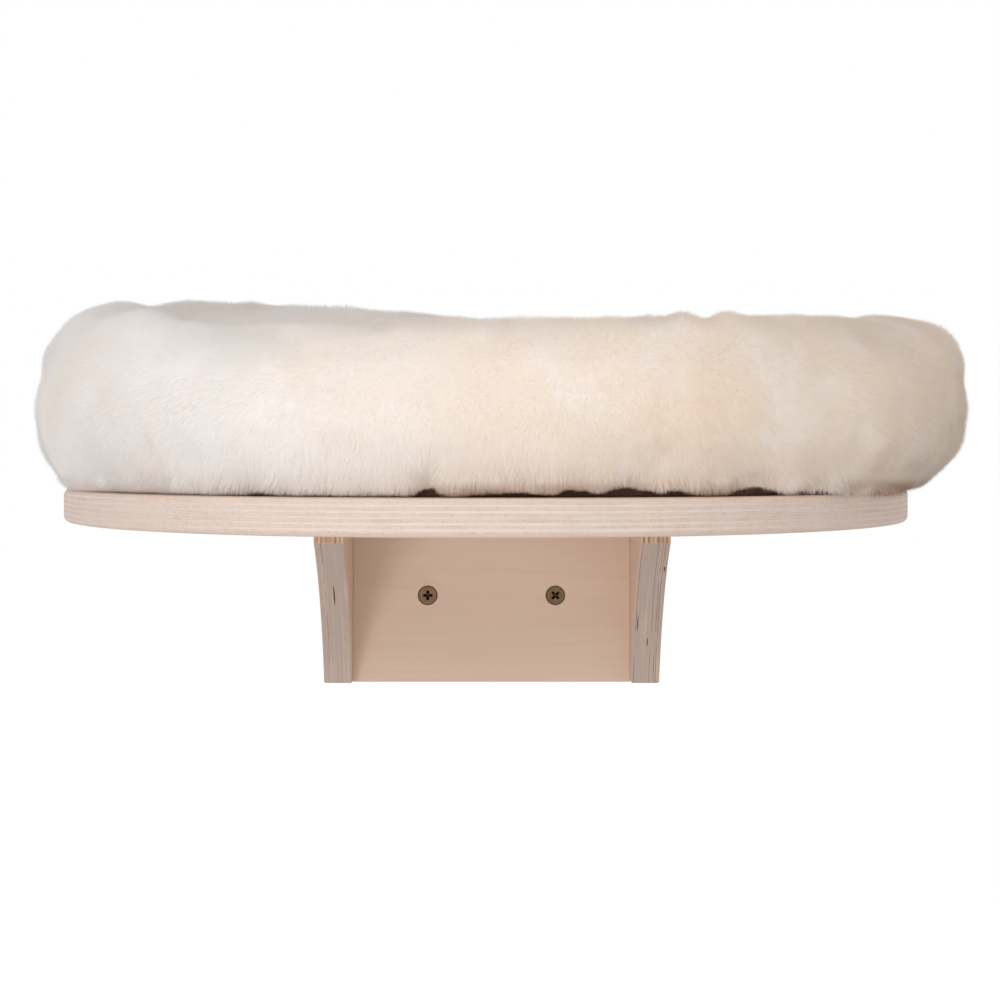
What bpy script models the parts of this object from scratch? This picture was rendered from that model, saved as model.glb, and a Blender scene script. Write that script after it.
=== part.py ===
"""Wall-mounted cat bed: a plush ring bed on a half-oval plywood shelf with a plywood bracket.

Metres, +Z up. The wall is the plane Y = 0 and the bed reaches out from it towards -Y.
The origin lies on the back of the wall plate, midway between the two wall screws.
"""
import math

import bmesh
import bpy
from mathutils import Vector

# Plywood
PLY = 0.018                   # thickness of every plywood piece
GLUE_LINE = 0.0003            # gap between two pieces that are glued or rest on each other
SANDING = 0.0010              # rounding of the bracket's edges

# Shelf board: half an oval whose straight back stands against the wall
BOARD_WIDTH = 0.515
BOARD_DEPTH = 0.350
BOARD_FULLNESS = 2.2          # exponent of the oval: 2 is an ellipse, more is fuller
BOARD_ROUNDING = 0.003
BOARD_SHIFT = -0.0039         # the board's middle, beside the bracket's middle
BOARD_OUTLINE_STEPS = 48

# Bracket: two sides with a wall plate between them
BRACKET_WIDTH = 0.214
BRACKET_HEIGHT = 0.1075
SIDE_DEPTH_TOP = 0.094
SIDE_DEPTH_BOTTOM = 0.0245
SIDE_NOSE = 0.0145            # height of the square nose above the hollow curve
SIDE_CURVE_RADIUS = 0.195
SIDE_CURVE_STEPS = 12

# Countersunk screws with a cross recess
SCREW_CLEARANCE = 0.0003      # all round a shank, in its hole
HEAD_CLEARANCE = 0.0004       # all round a head, in its countersink
HEAD_LAND = 0.0005            # straight rim of a head, above its cone
RECESS_REACH = 0.54           # the cross recess from end to end, as a share of the head's width
RECESS_ROOT = 0.11            # width of its arms at the middle, likewise
RECESS_TIP = 0.09             # width of its arms at their ends, likewise
RECESS_DEPTH = 0.25           # its depth, likewise
WALL_SCREW_DIAMETER = 0.006
WALL_SCREW_LENGTH = 0.060
WALL_SCREW_HEAD = 0.012
WALL_SCREW_SPACING = 0.082
WALL_SCREW_DROP = 0.052       # below the underside of the board
SHELF_SCREW_DIAMETER = 0.004
SHELF_SCREW_LENGTH = 0.045
SHELF_SCREW_HEAD = 0.008
SHELF_SCREW_FROM_WALL = 0.022
SHELF_SCREW_FROM_NOSE = 0.030   # of the front screws, from the front of the bracket's sides

# Wooden dowels between the wall plate and the sides
DOWEL_DIAMETER = 0.008
DOWEL_LENGTH = 0.030
DOWEL_IN_SIDE = 0.012
DOWEL_CLEARANCE = 0.0003
DOWEL_CHAMFER = 0.0008
DOWEL_SPACING = 0.064
DOWEL_INSET = PLY / 2         # of the dowels' axes from the wall

# Hook and loop strips that hold the bed on the board
STRIP_LENGTH = 0.100
STRIP_WIDTH = 0.025
STRIP_THICKNESS = 0.0012
STRIP_FROM_SIDE = 0.0925      # of a strip's outer end, from the widest part of the board
STRIP_FROM_FRONT = 0.160      # of its middle, from the front of the board

# Plush bed: a stuffed ring round a floor pad, both sewn to a base cloth
BED_SIDE_OVERHANG = 0.0275    # of its oval at the wall, before its back corners are rounded
BED_FRONT_OVERHANG = 0.008
BED_BACK_GAP = 0.003          # between the ring and the wall
BED_FULLNESS = 2.2            # exponent of the oval, as on the board
BED_SHIFT = 0.0085            # the bed's middle, beside the board's middle
RING_WIDTH = 0.094
RING_CORNER = 0.060           # radius of the ring's middle line at its back corners
# Evenly round the ring: back, back left, left, front left, front, front right, right, back right
RING_HEIGHTS = (0.106, 0.114, 0.110, 0.089, 0.085, 0.089, 0.0975, 0.100)
RING_SHOULDERS = (2.5, 2.3, 2.3, 2.4, 2.5, 3.0, 4.2, 3.2)   # fullness of its cross-section
RING_BULGE = 0.45             # height of the widest line, as a share of the ring's height
HEM_TUCK = 0.020              # how far the outer hem is drawn in under the bulge
SEAM_TUCK = 0.006             # the same at the seam with the floor pad
PLUSH = 0.004                 # thickness of the plush, pile and backing
STUFFING_GAP = 0.0004         # between the ring's stuffing and its cover
PAD_STUFFING_GAP = 0.0008     # the same in the pad, whose edge bends more sharply
HEM_CLEARANCE = 0.0008        # between the outer hem and the board
BASE_CLOTH = 0.0015
BASE_CLOTH_INSET = 0.009      # of the base cloth's edge from the inside of the hem
PAD_HEIGHT = 0.040            # at the crown
PAD_EDGE_HEIGHT = 0.026
PAD_EDGE_TUCK = 0.004         # how far the pad's edge is drawn in at its seam
PAD_EDGE_ROUNDING = 0.006
PAD_EDGE_BULGE = 0.45         # height of the edge's widest line, as a share of the edge's height
PAD_SLOPE = 0.60              # where the crown is halfway up, as a share of the way to the edge
PAD_CLEARANCE = 0.0006        # between the floor pad and the ring
RING_COLUMNS = 24             # columns of the coarse cages, before subdivision
LINE_STEPS = 20               # steps of the ring's fine line for each column

# Levels and places that follow from the sizes above
BOARD_UNDERSIDE = WALL_SCREW_DROP
BOARD_TOP = BOARD_UNDERSIDE + PLY
BRACKET_TOP = BOARD_UNDERSIDE - GLUE_LINE
BRACKET_BOTTOM = BOARD_UNDERSIDE - BRACKET_HEIGHT
SIDE_MIDDLE = (BRACKET_WIDTH - PLY) / 2
PLATE_WIDTH = BRACKET_WIDTH - 2 * PLY - 2 * GLUE_LINE
HOOK_BOTTOM = BOARD_TOP + GLUE_LINE
LOOP_BOTTOM = HOOK_BOTTOM + STRIP_THICKNESS + GLUE_LINE
CLOTH_BOTTOM = LOOP_BOTTOM + STRIP_THICKNESS + GLUE_LINE
BED_FLOOR = CLOTH_BOTTOM + BASE_CLOTH + GLUE_LINE
HEM_LEVEL = BOARD_TOP + HEM_CLEARANCE
STRIP_MIDDLE = BOARD_WIDTH / 2 - STRIP_FROM_SIDE - STRIP_LENGTH / 2
BED_WIDTH = BOARD_WIDTH + 2 * BED_SIDE_OVERHANG
BED_FRONT = BOARD_DEPTH + BED_FRONT_OVERHANG   # reach of the ring from the wall
BED_MIDDLE = BOARD_SHIFT + BED_SHIFT

SMOOTH_ANGLE = math.radians(35)
EDGE_ANGLE = math.radians(40)   # sharper edges than this are rounded
MERGE = 0.00002
OVERSHOOT = 0.001             # how far a cutter stands out of the face that it cuts
SCREW_SIDES = 20
DOWEL_SIDES = 16


def clear_scene():
    for obj in list(bpy.data.objects):
        bpy.data.objects.remove(obj, do_unlink=True)


def new_collection(name):
    collection = bpy.data.collections.new(name)
    bpy.context.scene.collection.children.link(collection)
    return collection


def material(name, colour, roughness, metallic=0.0):
    made = bpy.data.materials.new(name)
    made.use_nodes = True
    shader = made.node_tree.nodes["Principled BSDF"]
    shader.inputs["Base Color"].default_value = (*colour, 1.0)
    shader.inputs["Roughness"].default_value = roughness
    shader.inputs["Metallic"].default_value = metallic
    return made


def add_object(name, data, collection, finish=None, parent=None):
    """Links a new object, gives it its finish and hangs it under its empty, where it stays put."""
    obj = bpy.data.objects.new(name, data)
    collection.objects.link(obj)
    if finish:
        data.materials.append(finish)
    if parent:
        obj.parent = parent
        obj.matrix_parent_inverse = parent.matrix_world.inverted()
    return obj


def place(obj, location=(0, 0, 0), rotation=(0, 0, 0)):
    obj.location = location
    obj.rotation_euler = rotation
    return obj


def empty_at(name, location, collection):
    """An empty that carries one body, with its matrix up to date for the pieces that hang on it."""
    empty = bpy.data.objects.new(name, None)
    collection.objects.link(empty)
    empty.location = location
    bpy.context.view_layer.update()
    return empty


def smooth(obj):
    obj.data.shade_smooth()
    obj.data.set_sharp_from_angle(angle=SMOOTH_ANGLE)


def mesh_of(curve_object):
    """The curve's evaluated shape as a mesh, with its caps welded to its walls."""
    bpy.context.view_layer.update()
    evaluated = curve_object.evaluated_get(bpy.context.evaluated_depsgraph_get())
    mesh = bpy.data.meshes.new_from_object(evaluated)
    shape = bmesh.new()
    shape.from_mesh(mesh)
    bmesh.ops.remove_doubles(shape, verts=shape.verts, dist=MERGE)
    bmesh.ops.recalc_face_normals(shape, faces=shape.faces)
    shape.to_mesh(mesh)
    shape.free()
    return mesh


def flat_mesh(outline, thickness):
    """A flat piece of this outline in the local XY plane, half of its thickness on each side."""
    curve = bpy.data.curves.new("outline", "CURVE")
    curve.dimensions = "2D"
    curve.fill_mode = "BOTH"
    curve.extrude = thickness / 2
    spline = curve.splines.new("POLY")
    spline.points.add(len(outline) - 1)
    for point, (x, y) in zip(spline.points, outline):
        point.co = (x, y, 0, 1)
    spline.use_cyclic_u = True
    drawn = bpy.data.objects.new("outline", curve)
    bpy.context.scene.collection.objects.link(drawn)
    mesh = mesh_of(drawn)
    bpy.data.objects.remove(drawn, do_unlink=True)
    bpy.data.curves.remove(curve)
    return mesh


def round_edges(obj, width, segments=2):
    bevel = obj.modifiers.new("rounded edges", "BEVEL")
    bevel.width = width
    bevel.segments = segments
    bevel.limit_method = "ANGLE"
    bevel.angle_limit = EDGE_ANGLE
    bevel.harden_normals = False


def cut(obj, cutter):
    difference = obj.modifiers.new("cut " + cutter.name, "BOOLEAN")
    difference.operation = "DIFFERENCE"
    difference.object = cutter


def profile_mesh(profile):
    """A line of (radius, height) points, down the outer side of what is turned from it."""
    mesh = bpy.data.meshes.new("profile")
    points = [(radius, 0, height) for radius, height in profile]
    edges = [(i, i + 1) for i in range(len(points) - 1)]
    mesh.from_pydata(points, edges, [])
    return mesh


def turn(obj):
    screw = obj.modifiers.new("turned", "SCREW")
    screw.steps = SCREW_SIDES
    screw.render_steps = SCREW_SIDES
    screw.use_merge_vertices = True
    screw.merge_threshold = MERGE
    screw.use_smooth_shade = True


def as_cutter(obj):
    obj.hide_render = True
    obj.display_type = "WIRE"
    return obj


def box_mesh(width, depth, height):
    shape = bmesh.new()
    bmesh.ops.create_cube(shape, size=1.0)
    bmesh.ops.scale(shape, verts=shape.verts, vec=(width, depth, height))
    mesh = bpy.data.meshes.new("box")
    shape.to_mesh(mesh)
    shape.free()
    return mesh


def rod_mesh(diameter, length):
    shape = bmesh.new()
    bmesh.ops.create_cone(shape, cap_ends=True, segments=DOWEL_SIDES, radius1=diameter / 2,
                          radius2=diameter / 2, depth=length)
    mesh = bpy.data.meshes.new("rod")
    shape.to_mesh(mesh)
    shape.free()
    return mesh


def power_curve(angle, power):
    """Cosine and sine of the angle, each raised to this power with its sign kept."""
    def raised(value):
        return math.copysign(abs(value) ** power, value)
    return raised(math.cos(angle)), raised(math.sin(angle))


def arc_between(start, end, radius, steps):
    """The points of the arc between two points whose centre lies to the left of the way."""
    start, end = Vector(start), Vector(end)
    way = end - start
    left = Vector((-way.y, way.x)).normalized()
    centre = (start + end) / 2 + left * math.sqrt(radius ** 2 - (way.length / 2) ** 2)
    first, last = start - centre, end - centre
    turn_by = first.angle_signed(last)
    points = []
    for step in range(steps + 1):
        angle = math.atan2(first.y, first.x) - turn_by * step / steps
        points.append((centre.x + radius * math.cos(angle), centre.y + radius * math.sin(angle)))
    return points


def board_outline():
    outline = []
    for step in range(BOARD_OUTLINE_STEPS + 1):
        x, y = power_curve(math.pi * step / BOARD_OUTLINE_STEPS, 2 / BOARD_FULLNESS)
        outline.append((x * BOARD_WIDTH / 2, -abs(y) * BOARD_DEPTH))
    return outline


def side_outline():
    """Distance from the wall and height of the points round a bracket side."""
    curve = arc_between((SIDE_DEPTH_TOP, BRACKET_TOP - SIDE_NOSE),
                        (SIDE_DEPTH_BOTTOM, BRACKET_BOTTOM), SIDE_CURVE_RADIUS, SIDE_CURVE_STEPS)
    return [(0, BRACKET_TOP), (SIDE_DEPTH_TOP, BRACKET_TOP), *curve, (0, BRACKET_BOTTOM)]


def screw_profile(diameter, length, head):
    """A countersunk screw with the top of its head at height 0 and its point downwards."""
    radius, head_radius = diameter / 2, head / 2
    cone_end = HEAD_LAND + head_radius - radius
    return [(0, 0), (head_radius, 0), (head_radius, -HEAD_LAND), (radius, -cone_end),
            (radius, diameter - length), (0, -length)]


def screw_hole_profile(diameter, depth, head):
    """The countersunk hole for such a screw, to this depth below the top of the head."""
    radius, head_radius = diameter / 2 + SCREW_CLEARANCE, head / 2 + HEAD_CLEARANCE
    cone_end = HEAD_LAND + head_radius - radius + HEAD_CLEARANCE
    return [(0, OVERSHOOT), (head_radius, OVERSHOOT), (head_radius, -HEAD_LAND - HEAD_CLEARANCE),
            (radius, -cone_end - HEAD_CLEARANCE), (radius, -depth), (0, -depth)]


def recess_mesh(head):
    """A cross for the driver, whose arms narrow outwards, half of its height above the head."""
    reach, tip, root = head * RECESS_REACH / 2, head * RECESS_TIP / 2, head * RECESS_ROOT / 2
    corners = [(reach, -tip), (reach, tip), (root, root)]
    outline = []
    for quarter in range(4):
        for x, y in corners:
            for _ in range(quarter):
                x, y = -y, x
            outline.append((x, y))
    return flat_mesh(outline, 2 * head * RECESS_DEPTH)


class Screw:
    """One countersunk screw: the cutters for its hole and its recess, and the screw itself."""

    def __init__(self, name, location, rotation, diameter, length, head, cutters):
        self.name, self.location, self.rotation = name, location, rotation
        self.diameter, self.length, self.head = diameter, length, head
        self.hole = as_cutter(add_object(name + "_hole", profile_mesh(
            screw_hole_profile(diameter, length + SCREW_CLEARANCE, head)), cutters))
        turn(place(self.hole, location, rotation))
        self.recess = as_cutter(add_object(name + "_recess", recess_mesh(head), cutters))
        place(self.recess, location, rotation)

    def drive(self, collection, finish, parent):
        mesh = profile_mesh(screw_profile(self.diameter, self.length, self.head))
        screw = add_object(self.name, mesh, collection, finish, parent)
        turn(place(screw, self.location, self.rotation))
        cut(screw, self.recess)
        return screw


def smoothly_round(values, share):
    """The value at this share of the way round, eased between values that are spaced evenly."""
    reached = share * len(values)
    index = int(reached)
    ease = (1 - math.cos(math.pi * (reached - index))) / 2
    return values[index % len(values)] * (1 - ease) + values[(index + 1) % len(values)] * ease


def half_ring_line(steps):
    """(point, outward normal) from the ring's front round its right side to its back, beside X = 0.

    The front follows an oval like the board's, and an arc joins it to the straight back.
    """
    half = RING_WIDTH / 2
    width, depth = BED_WIDTH / 2 - half, BED_FRONT - half
    back = -(BED_BACK_GAP + half)
    line = []
    for step in range(steps):
        angle = math.pi / 2 * (1 - step / steps)
        x, y = power_curve(angle, 2 / BED_FULLNESS)
        slope = Vector(((x ** (BED_FULLNESS - 1)) / width, -(y ** (BED_FULLNESS - 1)) / depth))
        point, normal = Vector((x * width, -y * depth)), slope.normalized()
        line.append((point, normal))
        centre = point - normal * RING_CORNER
        if centre.y > back - RING_CORNER:
            break
    first = math.atan2(normal.y, normal.x)
    for step in range(1, steps + 1):
        angle = first + (math.pi / 2 - first) * step / steps
        normal = Vector((math.cos(angle), math.sin(angle)))
        line.append((centre + normal * RING_CORNER, normal))
    straight = line[-1][0].x
    for step in range(1, steps + 1):
        line.append((Vector((straight * (1 - step / steps), line[-1][0].y)), Vector((0, 1))))
    return line


def ring_middle_line(count):
    """(point, outward normal) round the ring's middle line, from the back leftwards.

    The points are spaced evenly on the ring's outer line, so that its corners get their share.
    """
    right = half_ring_line(LINE_STEPS * count)
    left = [(Vector((-p.x, p.y)), Vector((-n.x, n.y))) for p, n in reversed(right)]
    line = left[:-1] + right[:-1]
    outer = [point + normal * RING_WIDTH / 2 for point, normal in line]
    lengths = [(outer[(i + 1) % len(outer)] - outer[i]).length for i in range(len(outer))]
    step, walked, placed = sum(lengths) / count, 0.0, []
    for (point, normal), length in zip(line, lengths):
        if len(placed) < count and walked + length / 2 > step * len(placed):
            placed.append((point + Vector((BED_MIDDLE, 0)), normal))
        walked += length
    return placed


def against_smoothing(rings, arch):
    """The cage whose smoothed surface passes through these rings of points.

    Smoothing draws each point towards its neighbours by about a sixth of its second difference,
    so the cage starts that much further out: round each ring, and across the first rings, which
    make an arch of this many.
    """
    count, moved = len(rings[0]), []
    for row, ring in enumerate(rings):
        moved.append([])
        for i, spot in enumerate(ring):
            drawn = ring[i - 1] - 2 * spot + ring[(i + 1) % count]
            if 0 < row < arch - 1:
                drawn += rings[row - 1][i] - 2 * spot + rings[row + 1][i]
            moved[-1].append(spot - drawn / 6)
    return moved


def joined_rings(rings, closed):
    """Vertices and quads of these rings of points, each joined to the next one above it."""
    count = len(rings[0])
    vertices = [spot for ring in rings for spot in ring]
    faces = []
    for row in range(len(rings) if closed else len(rings) - 1):
        low, high = row * count, (row + 1) % len(rings) * count
        for i in range(count):
            beside = (i + 1) % count
            faces.append((low + i, low + beside, high + beside, high + i))
    return vertices, faces


def offset_outline(distance, count):
    """The ring's middle line moved outwards by this distance, as (x, y) points."""
    return [tuple(point + normal * distance) for point, normal in ring_middle_line(count)]


def ring_section(height, shoulder, inset):
    """(distance outwards, level) from the outer hem over the top to the seam with the pad."""
    half = RING_WIDTH / 2 - inset
    hem = BED_FLOOR if inset else HEM_LEVEL
    bulge = BOARD_TOP + RING_BULGE * height
    rise = BOARD_TOP + height - inset - bulge
    quarter = 1 - math.cos(math.radians(45))
    section = [(half - HEM_TUCK, hem), (half - HEM_TUCK * quarter, hem + (bulge - hem) * quarter)]
    for degrees in (0, 60, 120, 180):
        across, up = power_curve(math.radians(degrees), 2 / shoulder)
        section.append((half * across, bulge + rise * abs(up)))
    section.append((SEAM_TUCK - half, BED_FLOOR))
    return section


def ring_cage(inset, closed):
    """A coarse ring of quads: open underneath for the cover, closed for the stuffing."""
    columns = []
    for index, (point, normal) in enumerate(ring_middle_line(RING_COLUMNS)):
        share = index / RING_COLUMNS
        height, shoulder = smoothly_round(RING_HEIGHTS, share), smoothly_round(RING_SHOULDERS, share)
        section = ring_section(height, shoulder, inset)
        arch = len(section)
        if closed:
            section.append((0.0, BED_FLOOR))
        columns.append([Vector((*(point + normal * out), level)) for out, level in section])
    rings = against_smoothing([list(ring) for ring in zip(*columns)], arch)
    mesh = bpy.data.meshes.new("ring cage")
    vertices, faces = joined_rings(rings, closed)
    mesh.from_pydata(vertices, [], faces)
    return mesh


def pad_cage(inset, closed):
    """A coarse crowned pad, from its lower edge up to a pole at its crown."""
    outside = RING_WIDTH / 2 + PAD_CLEARANCE + inset
    side, crown_height = PAD_EDGE_HEIGHT - inset, PAD_HEIGHT - inset
    edge = offset_outline(-outside, RING_COLUMNS)
    middle = Vector((BED_MIDDLE, sum(y for _, y in edge) / len(edge)))
    reach = (Vector(edge[0]) - middle).length
    # share of the way from the middle to the edge, and height above the bed's floor
    steps = ((1 - PAD_EDGE_TUCK / reach, 0.0), (1.0, side * PAD_EDGE_BULGE),
             (1 - PAD_EDGE_ROUNDING / reach, side), (PAD_SLOPE, (side + crown_height) / 2))
    rings = [[Vector((*middle.lerp(Vector(spot), share), BED_FLOOR + height)) for spot in edge]
             for share, height in steps]
    vertices, faces = joined_rings(rings, False)
    vertices.append(Vector((*middle, BED_FLOOR + crown_height)))
    top_ring = (len(rings) - 1) * RING_COLUMNS
    for i in range(RING_COLUMNS):
        beside = (i + 1) % RING_COLUMNS
        faces.append((top_ring + i, top_ring + beside, len(rings) * RING_COLUMNS))
    if closed:
        vertices.append(Vector((*middle, BED_FLOOR)))
        for i in range(RING_COLUMNS):
            faces.append(((i + 1) % RING_COLUMNS, i, len(vertices) - 1))
    mesh = bpy.data.meshes.new("pad cage")
    mesh.from_pydata(vertices, [], faces)
    return mesh


def soften(obj):
    obj.data.shade_smooth()
    rounded = obj.modifiers.new("soft form", "SUBSURF")
    rounded.levels = 1
    rounded.render_levels = 1


def give_thickness(obj, thickness):
    shell = obj.modifiers.new("thickness", "SOLIDIFY")
    shell.thickness = thickness
    shell.offset = -1.0
    shell.use_even_offset = False


def build_plywood(parts, cutters, shelf, finish):
    """The board and the bracket, with the holes for their screws and dowels."""
    wall_screws = []
    for side, sign, twist in (("left", -1, 0.0), ("right", 1, math.radians(45))):
        wall_screws.append(Screw("wall_screw_" + side, (sign * WALL_SCREW_SPACING / 2, -PLY, 0),
                                 (math.pi / 2, -twist, 0), WALL_SCREW_DIAMETER, WALL_SCREW_LENGTH,
                                 WALL_SCREW_HEAD, cutters))

    board = add_object("shelf_board", flat_mesh(board_outline(), PLY), parts, finish, shelf)
    place(board, (BOARD_SHIFT, 0, BOARD_TOP - PLY / 2))
    round_edges(board, BOARD_ROUNDING, 3)

    plate = add_object("wall_plate", box_mesh(PLATE_WIDTH, PLY, BRACKET_TOP - BRACKET_BOTTOM),
                       parts, finish, shelf)
    place(plate, (0, -PLY / 2, (BRACKET_TOP + BRACKET_BOTTOM) / 2))
    for screw in wall_screws:
        cut(plate, screw.hole)

    shelf_screws, dowels = [], []
    for side, sign in (("left", -1), ("right", 1)):
        panel = add_object(side + "_side", flat_mesh(side_outline(), PLY), parts, finish, shelf)
        place(panel, (sign * SIDE_MIDDLE, 0, 0), (math.pi / 2, 0, -math.pi / 2))
        round_edges(panel, SANDING)
        for end, depth in (("back", SHELF_SCREW_FROM_WALL),
                           ("front", SIDE_DEPTH_TOP - SHELF_SCREW_FROM_NOSE)):
            screw = Screw(f"shelf_screw_{end}_{side}",
                          (sign * SIDE_MIDDLE, -depth, BOARD_TOP - GLUE_LINE), (0, 0, 0),
                          SHELF_SCREW_DIAMETER, SHELF_SCREW_LENGTH, SHELF_SCREW_HEAD, cutters)
            cut(board, screw.hole)
            cut(panel, screw.hole)
            shelf_screws.append(screw)
        inner_face = BRACKET_WIDTH / 2 - PLY
        dowel_middle = sign * (inner_face + DOWEL_IN_SIDE - DOWEL_LENGTH / 2)
        for end, rise in (("lower", -DOWEL_SPACING / 2), ("upper", DOWEL_SPACING / 2)):
            name = f"dowel_{end}_{side}"
            spot = (dowel_middle, -DOWEL_INSET, (BRACKET_TOP + BRACKET_BOTTOM) / 2 + rise)
            hole = as_cutter(add_object(name + "_hole", rod_mesh(
                DOWEL_DIAMETER + 2 * DOWEL_CLEARANCE, DOWEL_LENGTH + 2 * DOWEL_CLEARANCE), cutters))
            place(hole, spot, (0, math.pi / 2, 0))
            cut(panel, hole)
            cut(plate, hole)
            dowels.append((name, spot))
    for obj in (board, plate, parts.objects["left_side"], parts.objects["right_side"]):
        smooth(obj)
    return wall_screws, shelf_screws, dowels


def build_fixings(parts, shelf, screws, dowels, zinc, beech):
    for screw in screws:
        screw.drive(parts, zinc, shelf)
    for name, spot in dowels:
        dowel = add_object(name, rod_mesh(DOWEL_DIAMETER, DOWEL_LENGTH), parts, beech, shelf)
        place(dowel, spot, (0, math.pi / 2, 0))
        round_edges(dowel, DOWEL_CHAMFER, 1)
        smooth(dowel)


def build_strips(parts, shelf, bed, finish):
    """Hook strips on the board, and the loop strips of the bed that lie on them."""
    for side, sign in (("left", -1), ("right", 1)):
        for kind, bottom, parent in (("hook", HOOK_BOTTOM, shelf), ("loop", LOOP_BOTTOM, bed)):
            strip = add_object(f"{kind}_strip_{side}",
                               box_mesh(STRIP_LENGTH, STRIP_WIDTH, STRIP_THICKNESS),
                               parts, finish, parent)
            place(strip, (BOARD_SHIFT + sign * STRIP_MIDDLE, STRIP_FROM_FRONT - BOARD_DEPTH,
                          bottom + STRIP_THICKNESS / 2))


def build_bed(parts, bed, plush, stuffing, cloth):
    inside_hem = RING_WIDTH / 2 - HEM_TUCK - PLUSH
    outline = offset_outline(inside_hem - BASE_CLOTH_INSET, 2 * RING_COLUMNS)
    base = add_object("base_cloth", flat_mesh(outline, BASE_CLOTH), parts, cloth, bed)
    place(base, (0, 0, CLOTH_BOTTOM + BASE_CLOTH / 2))

    for name, cage in (("ring_cover", ring_cage(0.0, False)), ("pad_cover", pad_cage(0.0, False))):
        cover = add_object(name, cage, parts, plush, bed)
        soften(cover)
        give_thickness(cover, PLUSH)
    for name, cage in (("ring_stuffing", ring_cage(PLUSH + STUFFING_GAP, True)),
                       ("pad_stuffing", pad_cage(PLUSH + PAD_STUFFING_GAP, True))):
        soften(add_object(name, cage, parts, stuffing, bed))


def main():
    clear_scene()
    parts = new_collection("wall_mounted_cat_bed")
    cutters = new_collection("cutters")
    birch = material("birch_plywood", (0.80, 0.66, 0.53), 0.6)
    zinc = material("yellow_zinc", (0.62, 0.47, 0.24), 0.35, 1.0)
    beech = material("beech_dowel", (0.76, 0.58, 0.40), 0.7)
    plush = material("cream_plush", (0.87, 0.79, 0.69), 0.95)
    stuffing = material("white_stuffing", (0.92, 0.92, 0.90), 1.0)
    cloth = material("brown_base_cloth", (0.10, 0.06, 0.04), 0.9)
    strip = material("grey_strip", (0.20, 0.19, 0.18), 0.9)

    shelf = empty_at("shelf_body", (0, 0, 0), parts)
    bed = empty_at("bed_lift", (BED_MIDDLE, -BED_FRONT / 2, BOARD_TOP), parts)
    wall_screws, shelf_screws, dowels = build_plywood(parts, cutters, shelf, birch)
    build_fixings(parts, shelf, wall_screws + shelf_screws, dowels, zinc, beech)
    build_strips(parts, shelf, bed, strip)
    build_bed(parts, bed, plush, stuffing, cloth)


main()
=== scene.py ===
# %% [markdown]
# # A plush cat bed on a plywood shelf
#
# The shelf is a half-oval birch board on a bracket that two screws hold against the wall. On it lies a
# stuffed plush ring with a floor pad, which lifts off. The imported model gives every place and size, so each
# piece below starts from the box or the mesh of the node that it dresses.

# %% The frame
import math

import bmesh
import bpy
import numpy as np
from mathutils import Matrix, Vector, noise


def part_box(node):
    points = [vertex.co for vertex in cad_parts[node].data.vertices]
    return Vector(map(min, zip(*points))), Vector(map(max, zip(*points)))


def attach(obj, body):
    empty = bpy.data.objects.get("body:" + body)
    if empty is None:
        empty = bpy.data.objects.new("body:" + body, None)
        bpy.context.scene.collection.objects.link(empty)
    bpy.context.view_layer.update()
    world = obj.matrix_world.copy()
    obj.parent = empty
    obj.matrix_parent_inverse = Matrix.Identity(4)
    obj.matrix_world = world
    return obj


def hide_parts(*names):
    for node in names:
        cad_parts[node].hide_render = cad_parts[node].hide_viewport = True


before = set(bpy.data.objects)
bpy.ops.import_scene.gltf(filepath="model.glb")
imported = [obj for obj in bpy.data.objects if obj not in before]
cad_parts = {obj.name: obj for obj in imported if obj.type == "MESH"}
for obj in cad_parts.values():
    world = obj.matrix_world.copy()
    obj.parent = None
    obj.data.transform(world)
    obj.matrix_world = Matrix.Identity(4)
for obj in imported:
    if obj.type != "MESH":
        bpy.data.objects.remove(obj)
bpy.context.view_layer.update()

# %% [markdown]
# ## The camera
#
# The photograph was taken level, a little over a metre in front of the wall and slightly left of the bed's
# middle. Its frame is cropped off centre. The lens shift repeats that crop, so that upright edges stay
# upright, which turning the camera would spoil.

# %% The camera
CAMERA_SPOT = (-0.0055, -1.139, 0.0886)
LENS_MM, SENSOR_MM = 62.856, 36.0
LENS_SHIFT = (0.017, -0.0426)


def linked(name, data, *materials):
    """A new object in the scene, with its materials."""
    piece = bpy.data.objects.new(name, data)
    bpy.context.scene.collection.objects.link(piece)
    for material in materials:
        data.materials.append(material)
    return piece


def add_camera():
    lens = bpy.data.cameras.new("camera")
    lens.lens, lens.sensor_width = LENS_MM, SENSOR_MM
    lens.shift_x, lens.shift_y = LENS_SHIFT
    camera = linked("camera", lens)
    camera.location = CAMERA_SPOT
    camera.rotation_euler = (math.pi / 2, 0, 0)
    bpy.context.scene.camera = camera


add_camera()
print("camera", -CAMERA_SPOT[1], "m from the wall, lens", LENS_MM, "mm")

# %% [markdown]
# ## Maths on sockets
#
# A procedural finish is mostly arithmetic on values that change over the surface. Wiring Math nodes by hand
# hides that arithmetic, so one small class wraps a socket and lets Python's own operators add the nodes.
# Anything that isn't arithmetic goes through one method, `node`, which sets a node's options first and its
# inputs after them. Materials and the surroundings share it.

# %% Sockets as numbers


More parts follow.
